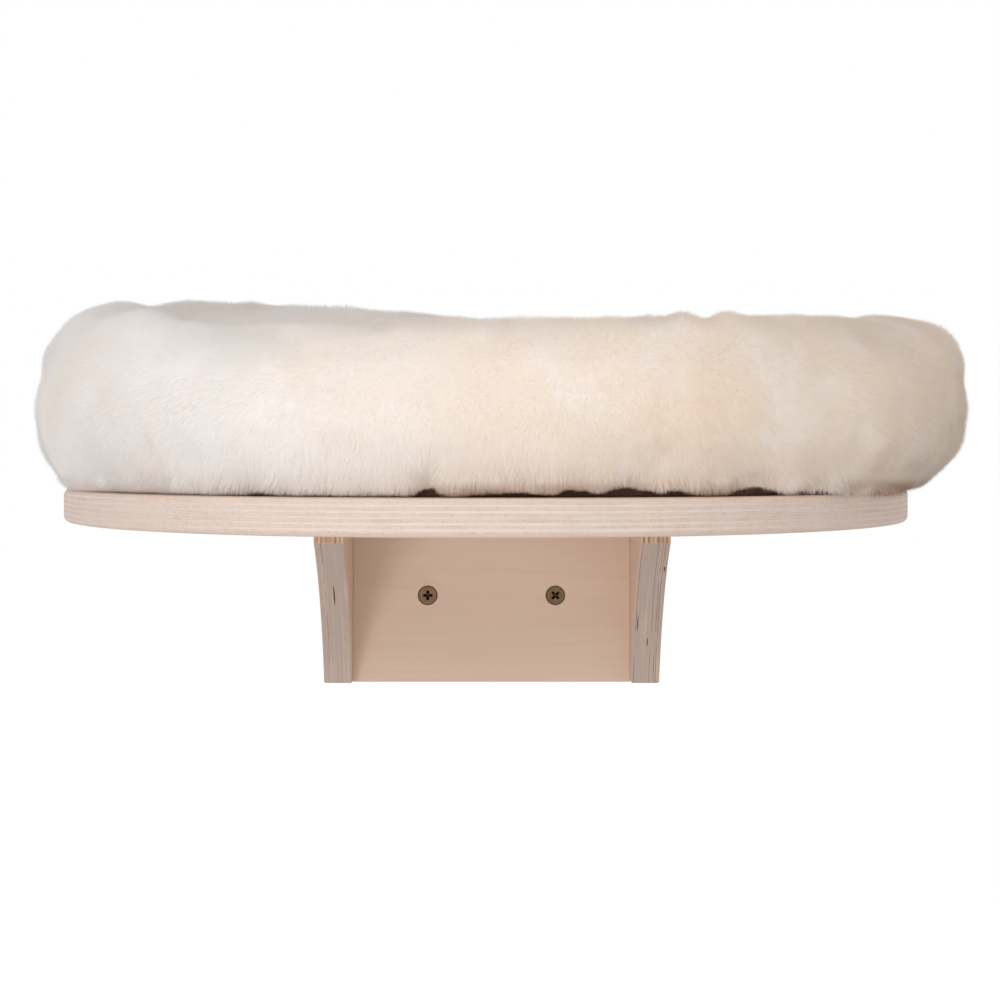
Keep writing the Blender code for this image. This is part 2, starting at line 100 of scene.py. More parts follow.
class Value:
    """A number that varies over the surface: an output socket that can be calculated with."""

    def __init__(self, nodes, socket):
        self.nodes, self.socket = nodes, socket

    def maths(self, operation, *terms):
        return self.nodes.node("Math", {"operation": operation}, dict(enumerate(terms)))

    def __add__(self, other):
        return self.maths("ADD", self, other)

    def __sub__(self, other):
        return self.maths("SUBTRACT", self, other)

    def __rsub__(self, other):
        return self.maths("SUBTRACT", other, self)

    def __mul__(self, other):
        return self.maths("MULTIPLY", self, other)

    def __truediv__(self, other):
        return self.maths("DIVIDE", self, other)

    def __mod__(self, other):
        return self.maths("FLOORED_MODULO", self, other)

    def __pow__(self, other):
        return self.maths("POWER", self, other)

    def __abs__(self):
        return self.maths("ABSOLUTE", self)

    __radd__, __rmul__ = __add__, __mul__

    def floor(self):
        return self.maths("FLOOR", self)

    def most(self, other):
        return self.maths("MAXIMUM", self, other)

    def least(self, other):
        return self.maths("MINIMUM", self, other)

    def ramp(self, low, high):
        """Rises smoothly from 0 at low to 1 at high, or falls where low is the greater."""
        settings = {"interpolation_type": "SMOOTHSTEP"}
        if low < high:
            return self.nodes.node("MapRange", settings, {0: self, 1: low, 2: high})
        return 1 - self.nodes.node("MapRange", settings, {0: self, 1: high, 2: low})


class Nodes:
    """The nodes of a material or of the surroundings."""

    def __init__(self, tree):
        self.tree = tree

    def node(self, kind, settings, inputs, output=0):
        """Adds a node with its settings, then its inputs by name or number, and gives one output."""
        made = self.tree.nodes.new("ShaderNode" + kind)
        for name, value in settings.items():
            setattr(made, name, value)
        for name, value in inputs.items():
            self.feed(made.inputs[name], value)
        return Value(self, made.outputs[output])

    def feed(self, socket, value):
        if isinstance(value, Value):
            self.tree.links.new(value.socket, socket)
        else:
            socket.default_value = value

    def seen_directly(self):
        """1 for the camera's rays, and for what shines back or through from them, else 0."""
        camera = self.node("LightPath", {}, {}, "Is Camera Ray")
        rays = camera.socket.node.outputs
        glossy, through = Value(self, rays["Is Glossy Ray"]), Value(self, rays["Is Transmission Ray"])
        return camera.most(glossy).most(through)


# %% [markdown]
# A finish is a material with its shader. It knows where a point of the surface lies and how it faces, which
# is all that a solid finish needs, and colours are given as they would be picked from a screen.

# %% A finish


class Finish(Nodes):
    """A material: its Principled shader, and the nodes that feed it."""

    def __init__(self, name, **constants):
        self.material = bpy.data.materials.new(name)
        self.material.use_nodes = True
        super().__init__(self.material.node_tree)
        self.shader = self.tree.nodes["Principled BSDF"]
        for socket, value in constants.items():
            self.shader.inputs[socket.replace("_", " ")].default_value = value

    def place(self):
        """The point on the surface as three values, in metres, at rest in the model's frame."""
        return self.split(self.node("TexCoord", {}, {}, "Object"))

    def facing(self):
        """The way the surface faces, as three values."""
        return self.split(self.node("TexCoord", {}, {}, "Normal"))

    def split(self, vector):
        node = self.node("SeparateXYZ", {}, {0: vector}).socket.node
        return [Value(self, socket) for socket in node.outputs]

    def join(self, *parts):
        return self.node("CombineXYZ", {}, dict(enumerate(parts)))

    def noise(self, spot, cells, detail=2.0, roughness=0.5, distortion=0.0, shift=0.0):
        """Noise of this many cells to a metre, or of a number of its own along each axis."""
        cells = cells if isinstance(cells, tuple) else (cells,) * 3
        shift = shift if isinstance(shift, tuple) else (shift,) * 3
        where = [value * count + move if move else value * count
                 for value, count, move in zip(spot, cells, shift)]
        return self.node("TexNoise", {}, {"Vector": self.join(*where), "Scale": 1.0, "Detail": detail,
                                          "Roughness": roughness, "Distortion": distortion})

    def chance(self, number):
        """A random value from 0 to 1 for each whole number."""
        return self.node("TexWhiteNoise", {"noise_dimensions": "1D"}, {"W": number}, "Value")

    def mix(self, share, first, second):
        """The first colour turning into the second as the share goes from 0 to 1."""
        return self.node("Mix", {"data_type": "RGBA"}, {0: share, 6: first, 7: second}, 2)

    def bump(self, height, distance, strength=1.0):
        """Relief: the height runs from 0 to 1 over this distance in metres."""
        normal = self.node("Bump", {}, {"Height": height, "Distance": distance,
                                        "Strength": strength})
        self.feed(self.shader.inputs["Normal"], normal)

    def show(self, **sockets):
        """Links what varies to the shader's sockets."""
        for name, value in sockets.items():
            self.feed(self.shader.inputs[name.replace("_", " ")], value)
        return self.material


def srgb(red, green, blue):
    """A colour as picked from a screen, 0 to 255, as the linear numbers that shaders use."""
    def linear(channel):
        share = channel / 255
        return share / 12.92 if share <= 0.04045 else ((share + 0.055) / 1.055) ** 2.4
    return (linear(red), linear(green), linear(blue), 1.0)


# %% [markdown]
# ## Birch plywood
#
# The board is thirteen veneers, each with its grain at right angles to the next. Painting stripes on its
# edges would break at every corner, so the finish is solid instead: the depth below the face picks the
# veneer, and each veneer's streaks run along its own grain in three dimensions. On a cut edge the plies then
# appear by themselves, long grain where they run along the edge and darker end grain where they meet it.
# A white wash lies over all of it, thinner on the hard glue lines.

# %% The plywood's colours and streaks
PLIES = 13
STREAKS_ALONG, STREAKS_ACROSS = 9.0, 620.0  # noise cells in a metre, along and across the grain
RAW_FADE = 0.0006  # half the height over which the wash ends
WOOD = {
    "face": srgb(236, 211, 191),
    "face streak": srgb(226, 197, 177),
    "long grain": srgb(238, 219, 205),
    "long streak": srgb(220, 194, 178),
    "end grain": srgb(220, 197, 183),
    "end pore": srgb(196, 168, 152),
    "raw light": srgb(240, 206, 172),
    "raw dark": srgb(142, 90, 62),
    "seam": srgb(140, 100, 78),
    # the slit colour is painted shade inside the split veneer
    "slit": srgb(64, 40, 30),
    "wash": srgb(230, 214, 206),
    # the sides' greyer wash, darkened in part as painted shade from the board above
    "shaded grey wash": srgb(194, 174, 164),
}


def streaks(finish, spot, along, seed, fine=1.0):
    """Noise drawn out along one axis of the wood, different for each seed."""
    cells = tuple(STREAKS_ALONG if axis == along else STREAKS_ACROSS * fine for axis in range(3))
    shift = tuple(seed if axis == along else 0.0 for axis in range(3))
    return finish.noise(spot, cells, 4.0, 0.62, shift=shift)


# %% [markdown]
# On a cut edge the even plies run one way and the odd ones the other. A ply whose grain points at the viewer
# shows darker end grain with pores. Tan patches of raw wood come through, most of all on the outer plies.

# %% The plies on a cut edge


def cut_edge(finish, spot, streak, end, luck, outer, stain):
    """The colour of the plies where they are cut."""
    tone = streak * 1.3 - 0.15
    long_colour = finish.mix(tone.ramp(0.3, 0.9), WOOD["long grain"], WOOD["long streak"])
    end_colour = finish.mix(tone.ramp(0.35, 0.85), WOOD["end grain"], WOOD["end pore"])
    colour = finish.mix(end, long_colour, end_colour)
    colour = finish.mix((luck - 0.55).most(0) * 0.5, colour, WOOD["end pore"])
    colour = finish.mix(outer * 0.6, colour, WOOD["raw light"])
    return finish.mix(stain.ramp(0.52, 0.72) * 0.35, colour, WOOD["raw light"])


# %% [markdown]
# A face is one rotary-cut veneer. It shows fine streaks, broad wavy figure and faint growth rings, which
# are the level lines of one noise field across the grain.

# %% The face veneer


def wood_face(finish, spot, grain, cross):
    """The colour of the outer veneer, seen on the flat."""
    cells = tuple(3.0 if axis == grain else 13.0 for axis in range(3))
    figure = finish.noise(spot, cells, 3.0, 0.5, 0.6)
    fine = streaks(finish, spot, grain, 3.0, 1.6)
    face = finish.mix(((fine - 0.5) * 0.6 + (figure - 0.5) * 0.8 + 0.4).ramp(0.1, 0.9),
                      WOOD["face"], WOOD["face streak"])
    rings = (spot[cross] * 26 + figure * 2.4) % 1
    return finish.mix(abs(rings - 0.5).ramp(0.09, 0.0) * 0.35, face, WOOD["face streak"])


# %% [markdown]
# Some glue lines of the bracket are dark and broken, and a few plies have slits where the veneer was split;
# the slits' darkness is painted shade. Both are marks on the cut edge that follow the real ones, given by
# their places.

# %% Dark glue lines and slits


def dark_lines(finish, spot, depth, edge, seams):
    """How far each point lies in one of these glue lines, which come and go along their length."""
    broken = finish.noise(spot, (20, 20, 55), 1.0)
    cracks = 0.0
    for number in seams:
        line = abs(depth - number).ramp(0.20, 0.06) * (broken + 0.07 * (number % 3)).ramp(0.42, 0.56)
        cracks = line * edge * 0.75 + cracks
    return cracks


def slit_marks(spot, edge, slits):
    """1 in each slit, given as (x, z, half width, half height)."""
    hollow = 0.0
    for x, z, half_width, half_height in slits:
        away = ((spot[0] - x) / half_width) ** 2 + ((spot[2] - z) / half_height) ** 2
        hollow = away.ramp(1.3, 0.7) * edge + hollow
    return hollow


# %% [markdown]
# The whole finish first works out which ply a point lies in. Then it lays the cut edge, the face, the glue
# lines, the wash and the raw wood over each other, each with a share of its own.

# %% The whole plywood finish


def plywood(name, through, grain, low, high, washed, dark_seams=(), slits=(), raw_above=9.0,
            wash_colour=WOOD["wash"]):
    """Plywood whose plies are stacked along one axis, 0, 1 or 2 for X, Y and Z, between two depths.

    The face grain runs along another axis. The dark seams are numbers of glue lines, and the wash is
    missing above a level.
    """
    finish = Finish(name)
    spot, normal = finish.place(), finish.facing()
    cross = 3 - through - grain
    wander = finish.noise(spot, 16.0, 2.0) - 0.5
    depth = ((spot[through] - low) / (high - low) * PLIES).most(0.01).least(PLIES - 0.01)
    inner = (depth - 0.5).ramp(0, 0.6) * (PLIES - 0.5 - depth).ramp(0, 0.6)
    depth = depth + wander * inner * 0.4
    ply = depth.floor()
    crossed = ply % 2
    luck = finish.chance(ply + low * 997)

    by_grain = streaks(finish, spot, grain, luck * 40)
    by_cross = streaks(finish, spot, cross, luck * 40)
    streak = by_grain + (by_cross - by_grain) * crossed
    to_grain, to_cross = abs(normal[grain]), abs(normal[cross])
    end = (to_grain + (to_cross - to_grain) * crossed).ramp(0.25, 0.95)
    edge = abs(normal[through]).ramp(0.97, 0.6)
    stain = finish.noise(spot, tuple(12.0 if axis == cross else 40.0 for axis in range(3)))
    outer = (1 - inner) * stain.ramp(0.35, 0.6)
    colour = cut_edge(finish, spot, streak, end, luck, outer, stain)
    colour = finish.mix(edge, wood_face(finish, spot, grain, cross), colour)

    between = abs((depth + 0.5) % 1 - 0.5).ramp(0.14, 0.02) * inner * edge
    patchy = finish.noise(spot, 60.0)
    colour = finish.mix(between * patchy.ramp(0.35, 0.7) * 0.4, colour, WOOD["seam"])
    mottle = finish.noise(spot, tuple(16.0 if axis == cross else 420.0 if axis == through else 40.0
                                      for axis in range(3)), 3.0)
    wash = (mottle.ramp(0.1, 0.6) * washed * (spot[2] - raw_above).ramp(RAW_FADE, -RAW_FADE)
            * (edge * 0.7 + 0.3))
    colour = finish.mix(wash, colour, wash_colour)
    raw = (spot[2] - raw_above).ramp(-RAW_FADE, RAW_FADE) * edge
    band = (crossed * 0.45 + luck * 0.5 + streak * 0.6 - 0.4).most(0).least(1)
    colour = finish.mix(raw * 0.9, colour, finish.mix(band, WOOD["raw light"], WOOD["raw dark"]))

    cracks = dark_lines(finish, spot, depth, edge, dark_seams)
    if dark_seams:
        colour = finish.mix(cracks.least(1), colour, WOOD["seam"])
    hollow = slit_marks(spot, edge, slits)
    # painted shade in the slits
    if slits:
        colour = finish.mix(hollow, colour, WOOD["slit"])
    finish.bump(streak * 0.5 - between * 0.5 - hollow * 2.0 - cracks, 0.0002, 0.6)
    return finish.show(Base_Color=colour, Roughness=0.56 + streak * 0.2)


# %% [markdown]
# ## Flat pieces of plywood
#
# All four plywood pieces are flat outlines, cut out and sanded. An outline is filled, pushed out to the
# thickness of the board, and its edges are rounded by a Bevel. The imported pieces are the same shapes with
# fewer facets, so these finer ones stand for them, at the same places.

# %% Cutting out
OUTLINE_STEPS = 180
BOARD_FULLNESS = 2.2
BOARD_ROUNDING = 0.003
SANDING = 0.0010
FLAT_LIMIT = math.radians(30)


def closed_mesh(name, shape):
    """The mesh of a closed shape, with its faces turned outwards."""
    bmesh.ops.recalc_face_normals(shape, faces=shape.faces)
    mesh = bpy.data.meshes.new(name)
    shape.to_mesh(mesh)
    shape.free()
    return mesh


def flat_piece(name, outline, thickness, place, rounding, segments, material):
    """A flat piece of this outline, laid in place by a matrix, with its edges rounded."""
    shape = bmesh.new()
    face = shape.faces.new([shape.verts.new((x, y, -thickness / 2)) for x, y in outline])
    pushed = bmesh.ops.extrude_face_region(shape, geom=[face])["geom"]
    bmesh.ops.translate(shape, vec=(0, 0, thickness),
                        verts=[item for item in pushed if isinstance(item, bmesh.types.BMVert)])
    mesh = closed_mesh(name, shape)
    mesh.transform(place)
    piece = linked(name, mesh, material)
    bevel = piece.modifiers.new("sanded edges", "BEVEL")
    bevel.width, bevel.segments, bevel.limit_method = rounding, segments, "ANGLE"
    bevel.angle_limit = FLAT_LIMIT
    mesh.shade_smooth()
    mesh.set_sharp_from_angle(angle=FLAT_LIMIT)
    bevel.harden_normals = True
    return piece


def half_oval(width, depth, fullness):
    """Half an oval with its straight side on the wall: an ellipse where the fullness is 2."""
    outline = []
    for step in range(OUTLINE_STEPS + 1):
        angle = math.pi * step / OUTLINE_STEPS
        x = math.copysign(abs(math.cos(angle)) ** (2 / fullness), math.cos(angle))
        outline.append((x * width / 2, -abs(math.sin(angle)) ** (2 / fullness) * depth))
    return outline


# %% [markdown]
# The board's thickness runs up and down and its face grain from left to right. The bracket's sides stand
# on edge, so their plies show as upright lines on their front edges, and the plate's plies show only from
# below and from the sides.

# %% The board
board_low, board_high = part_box("shelf_board")
board_middle = (board_low + board_high) / 2
board_finish = plywood("washed_birch_board", 2, 0, board_low.z, board_high.z, 0.5)
board = flat_piece("birch_shelf_board",
                   half_oval(board_high.x - board_low.x, -board_low.y, BOARD_FULLNESS),
                   board_high.z - board_low.z,
                   Matrix.Translation((board_middle.x, 0, board_middle.z)), BOARD_ROUNDING, 5,
                   board_finish)
print("board:", round(board_high.x - board_low.x, 4), "by", round(-board_low.y, 4), "m")

# %% [markdown]
# A bracket side ends in a square nose under the board. Below it the front edge is hollowed to an arc, which
# is found from the nose, the foot and the arc's radius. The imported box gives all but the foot's depth.

# %% The bracket
NOSE_HEIGHT = 0.0145
HOLLOW_RADIUS = 0.195
HOLLOW_STEPS = 40
FOOT_DEPTH = 0.0245
PLATE_SANDING = 0.0004


def side_outline(low, high):
    """Distance from the wall and height round a bracket side: a square nose above a hollow curve."""
    nose, foot = Vector((-low.y, high.z - NOSE_HEIGHT)), Vector((FOOT_DEPTH, low.z))
    way = foot - nose
    out = Vector((-way.y, way.x)).normalized()
    centre = (nose + foot) / 2 + out * math.sqrt(HOLLOW_RADIUS ** 2 - (way.length / 2) ** 2)
    first, last = nose - centre, foot - centre
    turn = first.angle_signed(last)
    arc = []
    for step in range(HOLLOW_STEPS + 1):
        angle = math.atan2(first.y, first.x) - turn * step / HOLLOW_STEPS
        arc.append((centre.x + HOLLOW_RADIUS * math.cos(angle),
                    centre.y + HOLLOW_RADIUS * math.sin(angle)))
    return [(0, high.z), (-low.y, high.z), *arc, (0, low.z)]


# the slits in the plies of each side's front edge, and its dark glue lines, counted from the left
SLITS = {"left": ((-0.0976, 0.0031, 0.0004, 0.0062),),
         "right": ((0.1053, 0.0206, 0.0004, 0.0016), (0.0915, -0.0152, 0.0003, 0.0052),
                   (0.0982, -0.0279, 0.0003, 0.0028))}
DARK_SEAMS = {"left": (3,), "right": (1, 8, 10, 11)}
UPRIGHT = Matrix(((0, 0, 1, 0), (-1, 0, 0, 0), (0, 1, 0, 0), (0, 0, 0, 1)))
bracket_sides = []
for side in ("left", "right"):
    low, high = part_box(side + "_side")
    # The sides' darker grey wash is partly painted shade from the board above them.
    finish = plywood(f"washed_birch_{side}_side", 0, 1, low.x, high.x, 0.8, DARK_SEAMS[side],
                     SLITS[side], high.z - NOSE_HEIGHT, WOOD["shaded grey wash"])
    place = Matrix.Translation(((low.x + high.x) / 2, 0, 0)) @ UPRIGHT
    bracket_sides.append(flat_piece(f"birch_{side}_side", side_outline(low, high), high.x - low.x,
                                    place, SANDING, 3, finish))
low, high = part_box("wall_plate")
plate_finish = plywood("washed_birch_plate", 1, 0, low.y, high.y, 0.2)
plate_left, plate_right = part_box("left_side")[1].x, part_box("right_side")[0].x  # the glue fills the gap
plate_outline = [(plate_left, low.z), (plate_right, low.z), (plate_right, high.z), (plate_left, high.z)]
STANDING = Matrix(((1, 0, 0, 0), (0, 0, 1, 0), (0, 1, 0, 0), (0, 0, 0, 1)))
plate = flat_piece("birch_wall_plate", plate_outline, high.y - low.y,
                   Matrix.Translation((0, (low.y + high.y) / 2, 0)) @ STANDING,
                   PLATE_SANDING, 2, plate_finish)
print("bracket:", [round(piece.dimensions.z, 4) for piece in (*bracket_sides, plate)], "m high")

for piece, node in ((board, "shelf_board"), (bracket_sides[0], "left_side"),
                    (bracket_sides[1], "right_side"), (plate, "wall_plate")):
    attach(piece, "shelf")
    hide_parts(node)

# %% [markdown]
# ## Countersunk screws
#
# Two yellow-passivated screws hold the bracket on the wall, and four thinner ones hold the board on it.
# A screw is a turned part, so its mesh is a stack of rings. The thread is no separate piece: along the
# shank the rings' radius swells where the angle and the height together fall on the helix.

# %% The turned body of a screw
HEAD_CHAMFER = 0.00035
HEAD_LAND = 0.0005
THREAD_PITCH = 0.45  # as a share of the shank's width
THREAD_DEPTH = 0.17  # likewise
RIDGE_HALF = 0.24  # half the ridge's width, as a share of the pitch
RINGS_A_TURN = 8
PLAIN_WIDTH = 0.86  # of the shank above the thread, as a share of the thread's width


def turned(rings, sides):
    """A closed solid from rings of (height, function from angle to radius), capped at both ends."""
    angles = [2 * math.pi * side / sides for side in range(sides)]
    shape = bmesh.new()
    rows = [[shape.verts.new((radius(a) * math.cos(a), radius(a) * math.sin(a), height))
             for a in angles] for height, radius in rings]
    for upper, lower in zip(rows, rows[1:]):
        for side in range(sides):
            beside = (side + 1) % sides
            shape.faces.new((upper[side], lower[side], lower[beside], upper[beside]))
    shape.faces.new(rows[0])
    shape.faces.new(reversed(rows[-1]))
    return closed_mesh("turned", shape)


def screw_rings(diameter, length, head, thread_start):
    """The rings of a countersunk screw whose head's top is at height 0 and whose point is below."""
    radius, pitch = diameter / 2, diameter * THREAD_PITCH
    neck = HEAD_LAND + head / 2 - radius

    def plain(value):
        return lambda angle: value

    def threaded(height, reach):
        def at(angle):
            phase = (angle / (2 * math.pi) + height / pitch) % 1
            ridge = max(0.0, 1 - abs(phase - 0.5) / RIDGE_HALF)
            return reach * (1 - THREAD_DEPTH * 2 + THREAD_DEPTH * 2 * ridge)
        return at

    rings = [(0, plain(head / 2 - HEAD_CHAMFER)), (-HEAD_CHAMFER, plain(head / 2)),
             (-HEAD_LAND, plain(head / 2)), (-neck, plain(radius * PLAIN_WIDTH)),
             (-thread_start, plain(radius * PLAIN_WIDTH))]
    steps = int((length - thread_start) / pitch * RINGS_A_TURN)
    for step in range(1, steps):
        height = -thread_start - (length - thread_start) * step / steps
        taper = min(1.0, (length + height) / (diameter * 1.1) + 0.06)
        rings.append((height, threaded(height, radius * taper)))
    return rings + [(-length, plain(radius * 0.05))]


# %% [markdown]
# The cross in the head and the countersunk hole in the wood are cuts. Each cutter is a solid of its own
# that a Boolean takes away, and it stands out of the surface a little, so that the cut is clean. The mesh is
# settled at once, since the exported piece has to hold the cut.

# %% The cross and the hole
SCREW_SIDES = 48
HOLE_GAP = 0.0004  # between a head and its countersink
SHANK_GAP = 0.0003  # between a shank and its hole
HOLE_STAND = 0.002  # how far the cutter of a hole stands out of the wood
RECESS_REACH, RECESS_WIDTH, RECESS_DEPTH = 0.30, 0.085, 0.22  # as shares of the head's width
RECESS_TAPER = 0.35  # width of the recess at its bottom, as a share of that at its top
SCREW_LIMIT = math.radians(32)


def settle(piece):
    """Applies all the modifiers of a piece to its mesh."""
    graph = bpy.context.evaluated_depsgraph_get()
    mesh = bpy.data.meshes.new_from_object(piece.evaluated_get(graph))
    piece.modifiers.clear()
    piece.data = mesh
    return piece


def cut_out(piece, cutter):
    """Takes the cutter's shape away from the piece, and then removes the cutter."""
    cut = piece.modifiers.new("cut", "BOOLEAN")
    cut.object, cut.operation, cut.solver = cutter, "DIFFERENCE", "EXACT"
    settle(piece)
    bpy.data.objects.remove(cutter)


def recess_cutter(head):
    """A four-armed cross that narrows downwards, standing out of the head for a clean cut."""
    reach, half = RECESS_REACH * head, RECESS_WIDTH * head
    outline = []
    for quarter in range(4):
        spin = Matrix.Rotation(quarter * math.pi / 2, 2)
        outline += [spin @ Vector(corner) for corner in ((reach, -half), (reach, half), (half, half))]
    shape = bmesh.new()
    top = [shape.verts.new((x, y, RECESS_DEPTH * head / 4)) for x, y in outline]
    deep = [shape.verts.new((x * RECESS_TAPER, y * RECESS_TAPER, -RECESS_DEPTH * head))
            for x, y in outline]
    shape.faces.new(top)
    shape.faces.new(reversed(deep))
    for i in range(len(outline)):
        shape.faces.new((top[i - 1], deep[i - 1], deep[i], top[i]))
    return linked("recess", closed_mesh("recess", shape))


def sink(piece, top, stand, head, diameter, depth):
    """Cuts the countersunk hole for a screw into a piece of wood."""
    radius, rim = diameter / 2 + SHANK_GAP, head / 2 + HOLE_GAP
    land = HEAD_LAND + HOLE_GAP
    rings = [(HOLE_STAND, lambda a: rim), (-land, lambda a: rim), (-land - rim + radius, lambda a: radius),
             (-depth, lambda a: radius)]
    cutter = linked("hole", turned(rings, SCREW_SIDES))
    cutter.data.transform(Matrix.Translation(top) @ stand)
    cut_out(piece, cutter)


def add_screw(name, node, wood, head_up, turn, thread_start, finish):
    """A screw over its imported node, its head towards +Z or -Y, its cross turned by this angle."""
    low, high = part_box(node)
    spread = high - low
    middle = (low + high) / 2
    if head_up:
        length, head, top = spread.z, spread.x, Vector((middle.x, middle.y, high.z))
        stand = Matrix.Identity(4)
    else:
        length, head, top = spread.y, spread.x, Vector((middle.x, low.y, middle.z))
        stand = Matrix.Rotation(math.pi / 2, 4, "X")
    for piece in wood:
        sink(piece, top, stand, head, head / 2, length)
    screw = linked(name, turned(screw_rings(head / 2, length, head, thread_start), SCREW_SIDES), finish)
    cut_out(screw, recess_cutter(head))
    screw.data.transform(Matrix.Translation(top) @ stand @ Matrix.Rotation(turn, 4, "Z"))
    screw.data.shade_smooth()
    screw.data.set_sharp_from_angle(angle=SCREW_LIMIT)
    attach(screw, "shelf")
    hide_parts(node)
    return screw


# %% [markdown]
# The yellow film on the zinc shows faint olive and purple clouds, because it is thinner than a wavelength
# here and there. The wall screws' crosses stand as photographed: the left one upright, the right one slanted.

# %% The zinc and the six screws
RECESS_SHADE_BEGINS, RECESS_SHADE_ENDS = (0.0003, 0.0012), (0.0060, 0.0045)  # painted shade in the recess, by depth below a head's face, each from none to full
WALL_THREAD, SHELF_THREAD = 0.019, 0.018  # where the threads start, below the heads' tops
CROSS_TURNS = {"left": 0.0, "right": math.radians(45)}
SHELF_TURNS = {"back_left": 0.3, "front_left": 1.1, "back_right": 0.7, "front_right": 0.1}


def zinc(name, axis, face):
    """Yellow-passivated zinc, with painted shade in the recess below the head's face on this axis."""
    finish = Finish(name, Metallic=1.0)
    spot = finish.place()
    cloud = finish.noise(spot, 260.0)
    purple = finish.noise(spot, 190.0, 1.0, shift=7.0)
    colour = finish.mix(cloud.ramp(0.35, 0.65), srgb(128, 98, 74), srgb(108, 92, 62))
    colour = finish.mix(purple.ramp(0.52, 0.68) * 0.6, colour, srgb(128, 84, 88))
    # painted shade: the cross's recess is darkened below the head's face
    below = abs(spot[axis] - face)
    recess_shade = below.ramp(*RECESS_SHADE_BEGINS) * below.ramp(*RECESS_SHADE_ENDS)
    colour = finish.mix(recess_shade * 0.85, colour, srgb(46, 38, 34))
    grime = finish.noise(spot, 900.0, 3.0)
    finish.bump(grime, 0.00004, 0.5)
    return finish.show(Base_Color=colour, Roughness=0.26 + grime * 0.24)


wall_zinc = zinc("yellow_zinc", 1, low.y)
shelf_zinc = zinc("yellow_zinc_shelf", 2, board_high.z)
wall_screws = [add_screw(f"countersunk_wall_screw_{side}", f"wall_screw_{side}", [plate], False,
                         turn, WALL_THREAD, wall_zinc)
               for side, turn in CROSS_TURNS.items()]
shelf_screws = [add_screw(f"countersunk_shelf_screw_{spot}", f"shelf_screw_{spot}",
                          [board, bracket_sides["right" in spot]], True, turn, SHELF_THREAD, shelf_zinc)
                for spot, turn in SHELF_TURNS.items()]
print("screws:", len(wall_screws), "in the wall,", len(shelf_screws), "in the board")

# %% [markdown]
# ## Filled shapes
#
# The ring and its floor pad are sewn tubes of plush, stuffed with loose fibre. Smooth modelling leaves them
# looking like plastic, so a cloth simulation inflates each one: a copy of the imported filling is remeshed
# evenly, its underside is held, and the pressure of the filling pushes the rest out until the fabric
# pulls back. How far any point may move is capped, so that the bed keeps its size.

# %% Inflating
VOXEL = 0.005
PRESSURE = 4.0
FRAMES = 20


def evened(name, node, material):
    """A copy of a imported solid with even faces."""
    piece = linked(name, bpy.data.objects[node].data.copy())
    piece.data.materials.clear()
    piece.data.materials.append(material)
    even = piece.modifiers.new("even faces", "REMESH")
    even.mode, even.voxel_size = "VOXEL", VOXEL
    return settle(piece)


def coordinates(mesh):
    spots = np.empty(len(mesh.vertices) * 3, np.float32)
    mesh.vertices.foreach_get("co", spots)
    return spots.reshape(-1, 3)


def put_coordinates(mesh, spots):
    mesh.vertices.foreach_set("co", np.ascontiguousarray(spots, np.float32).ravel())
    mesh.update()


def normals_of(mesh):
    normals = np.empty(len(mesh.vertices) * 3, np.float32)
    mesh.vertex_normals.foreach_get("vector", normals)
    return normals.reshape(-1, 3)


def inflate(piece, held_below, cap):
    """Runs the simulation with everything below this level held, and no point moved past the cap."""
    before = coordinates(piece.data)
    group = piece.vertex_groups.new(name="held")
    group.add([int(i) for i in np.nonzero(before[:, 2] < held_below)[0]], 1.0, "REPLACE")
    cloth = piece.modifiers.new("filling", "CLOTH").settings
    cloth.use_pressure, cloth.uniform_pressure_force = True, PRESSURE
    cloth.vertex_group_mass = group.name
    cloth.effector_weights.gravity = 0
    for step in range(1, FRAMES + 1):
        bpy.context.scene.frame_set(step)
    settle(piece)
    bpy.context.scene.frame_set(1)
    after = coordinates(piece.data)
    move = after - before
    reach = np.linalg.norm(move, axis=1)
    put_coordinates(piece.data, before + move * np.minimum(1, cap / np.maximum(reach, 1e-9))[:, None])
    print(piece.name, "swells by up to", round(float(reach.max()) * 1000, 1), "mm, capped at",
          cap * 1000)
    finer = piece.modifiers.new("smoother", "SUBSURF")
    finer.levels = finer.render_levels = 1
    return settle(piece)


def noise_at(spots, scale, seed):
    """Smooth noise from -1 to 1 at each spot, this many cells to a metre."""
    shift = Vector((seed * 17.3, seed * 5.1, seed * 9.7))
    return np.array([noise.noise(Vector(spot) * scale + shift) for spot in spots.tolist()], np.float32)


# %% [markdown]
# ## Plush
#
# The plush is short cream pile, about five millimetres long, that leans over and covers its backing. A
# bump map can't give its soft outline or the fringe at the hem, and the exported model keeps no hair
# particles, so the pile is real mesh: hundreds of thousands of slim closed spikes, sown evenly by area.
# They lean along a nap that runs from the inner seam over the top down to the hem, turned by slow noise,
# which gives the brushed patches. Each spike's shading normals are halfway between its own and those of the
# cloth beneath, because light scatters between real fibres and hides their single shapes.

# %% The plush finish
HEM_SHADE = (0.009, 0.002)  # heights above the board over which the hem's painted shade, partly a brown tint, sets in
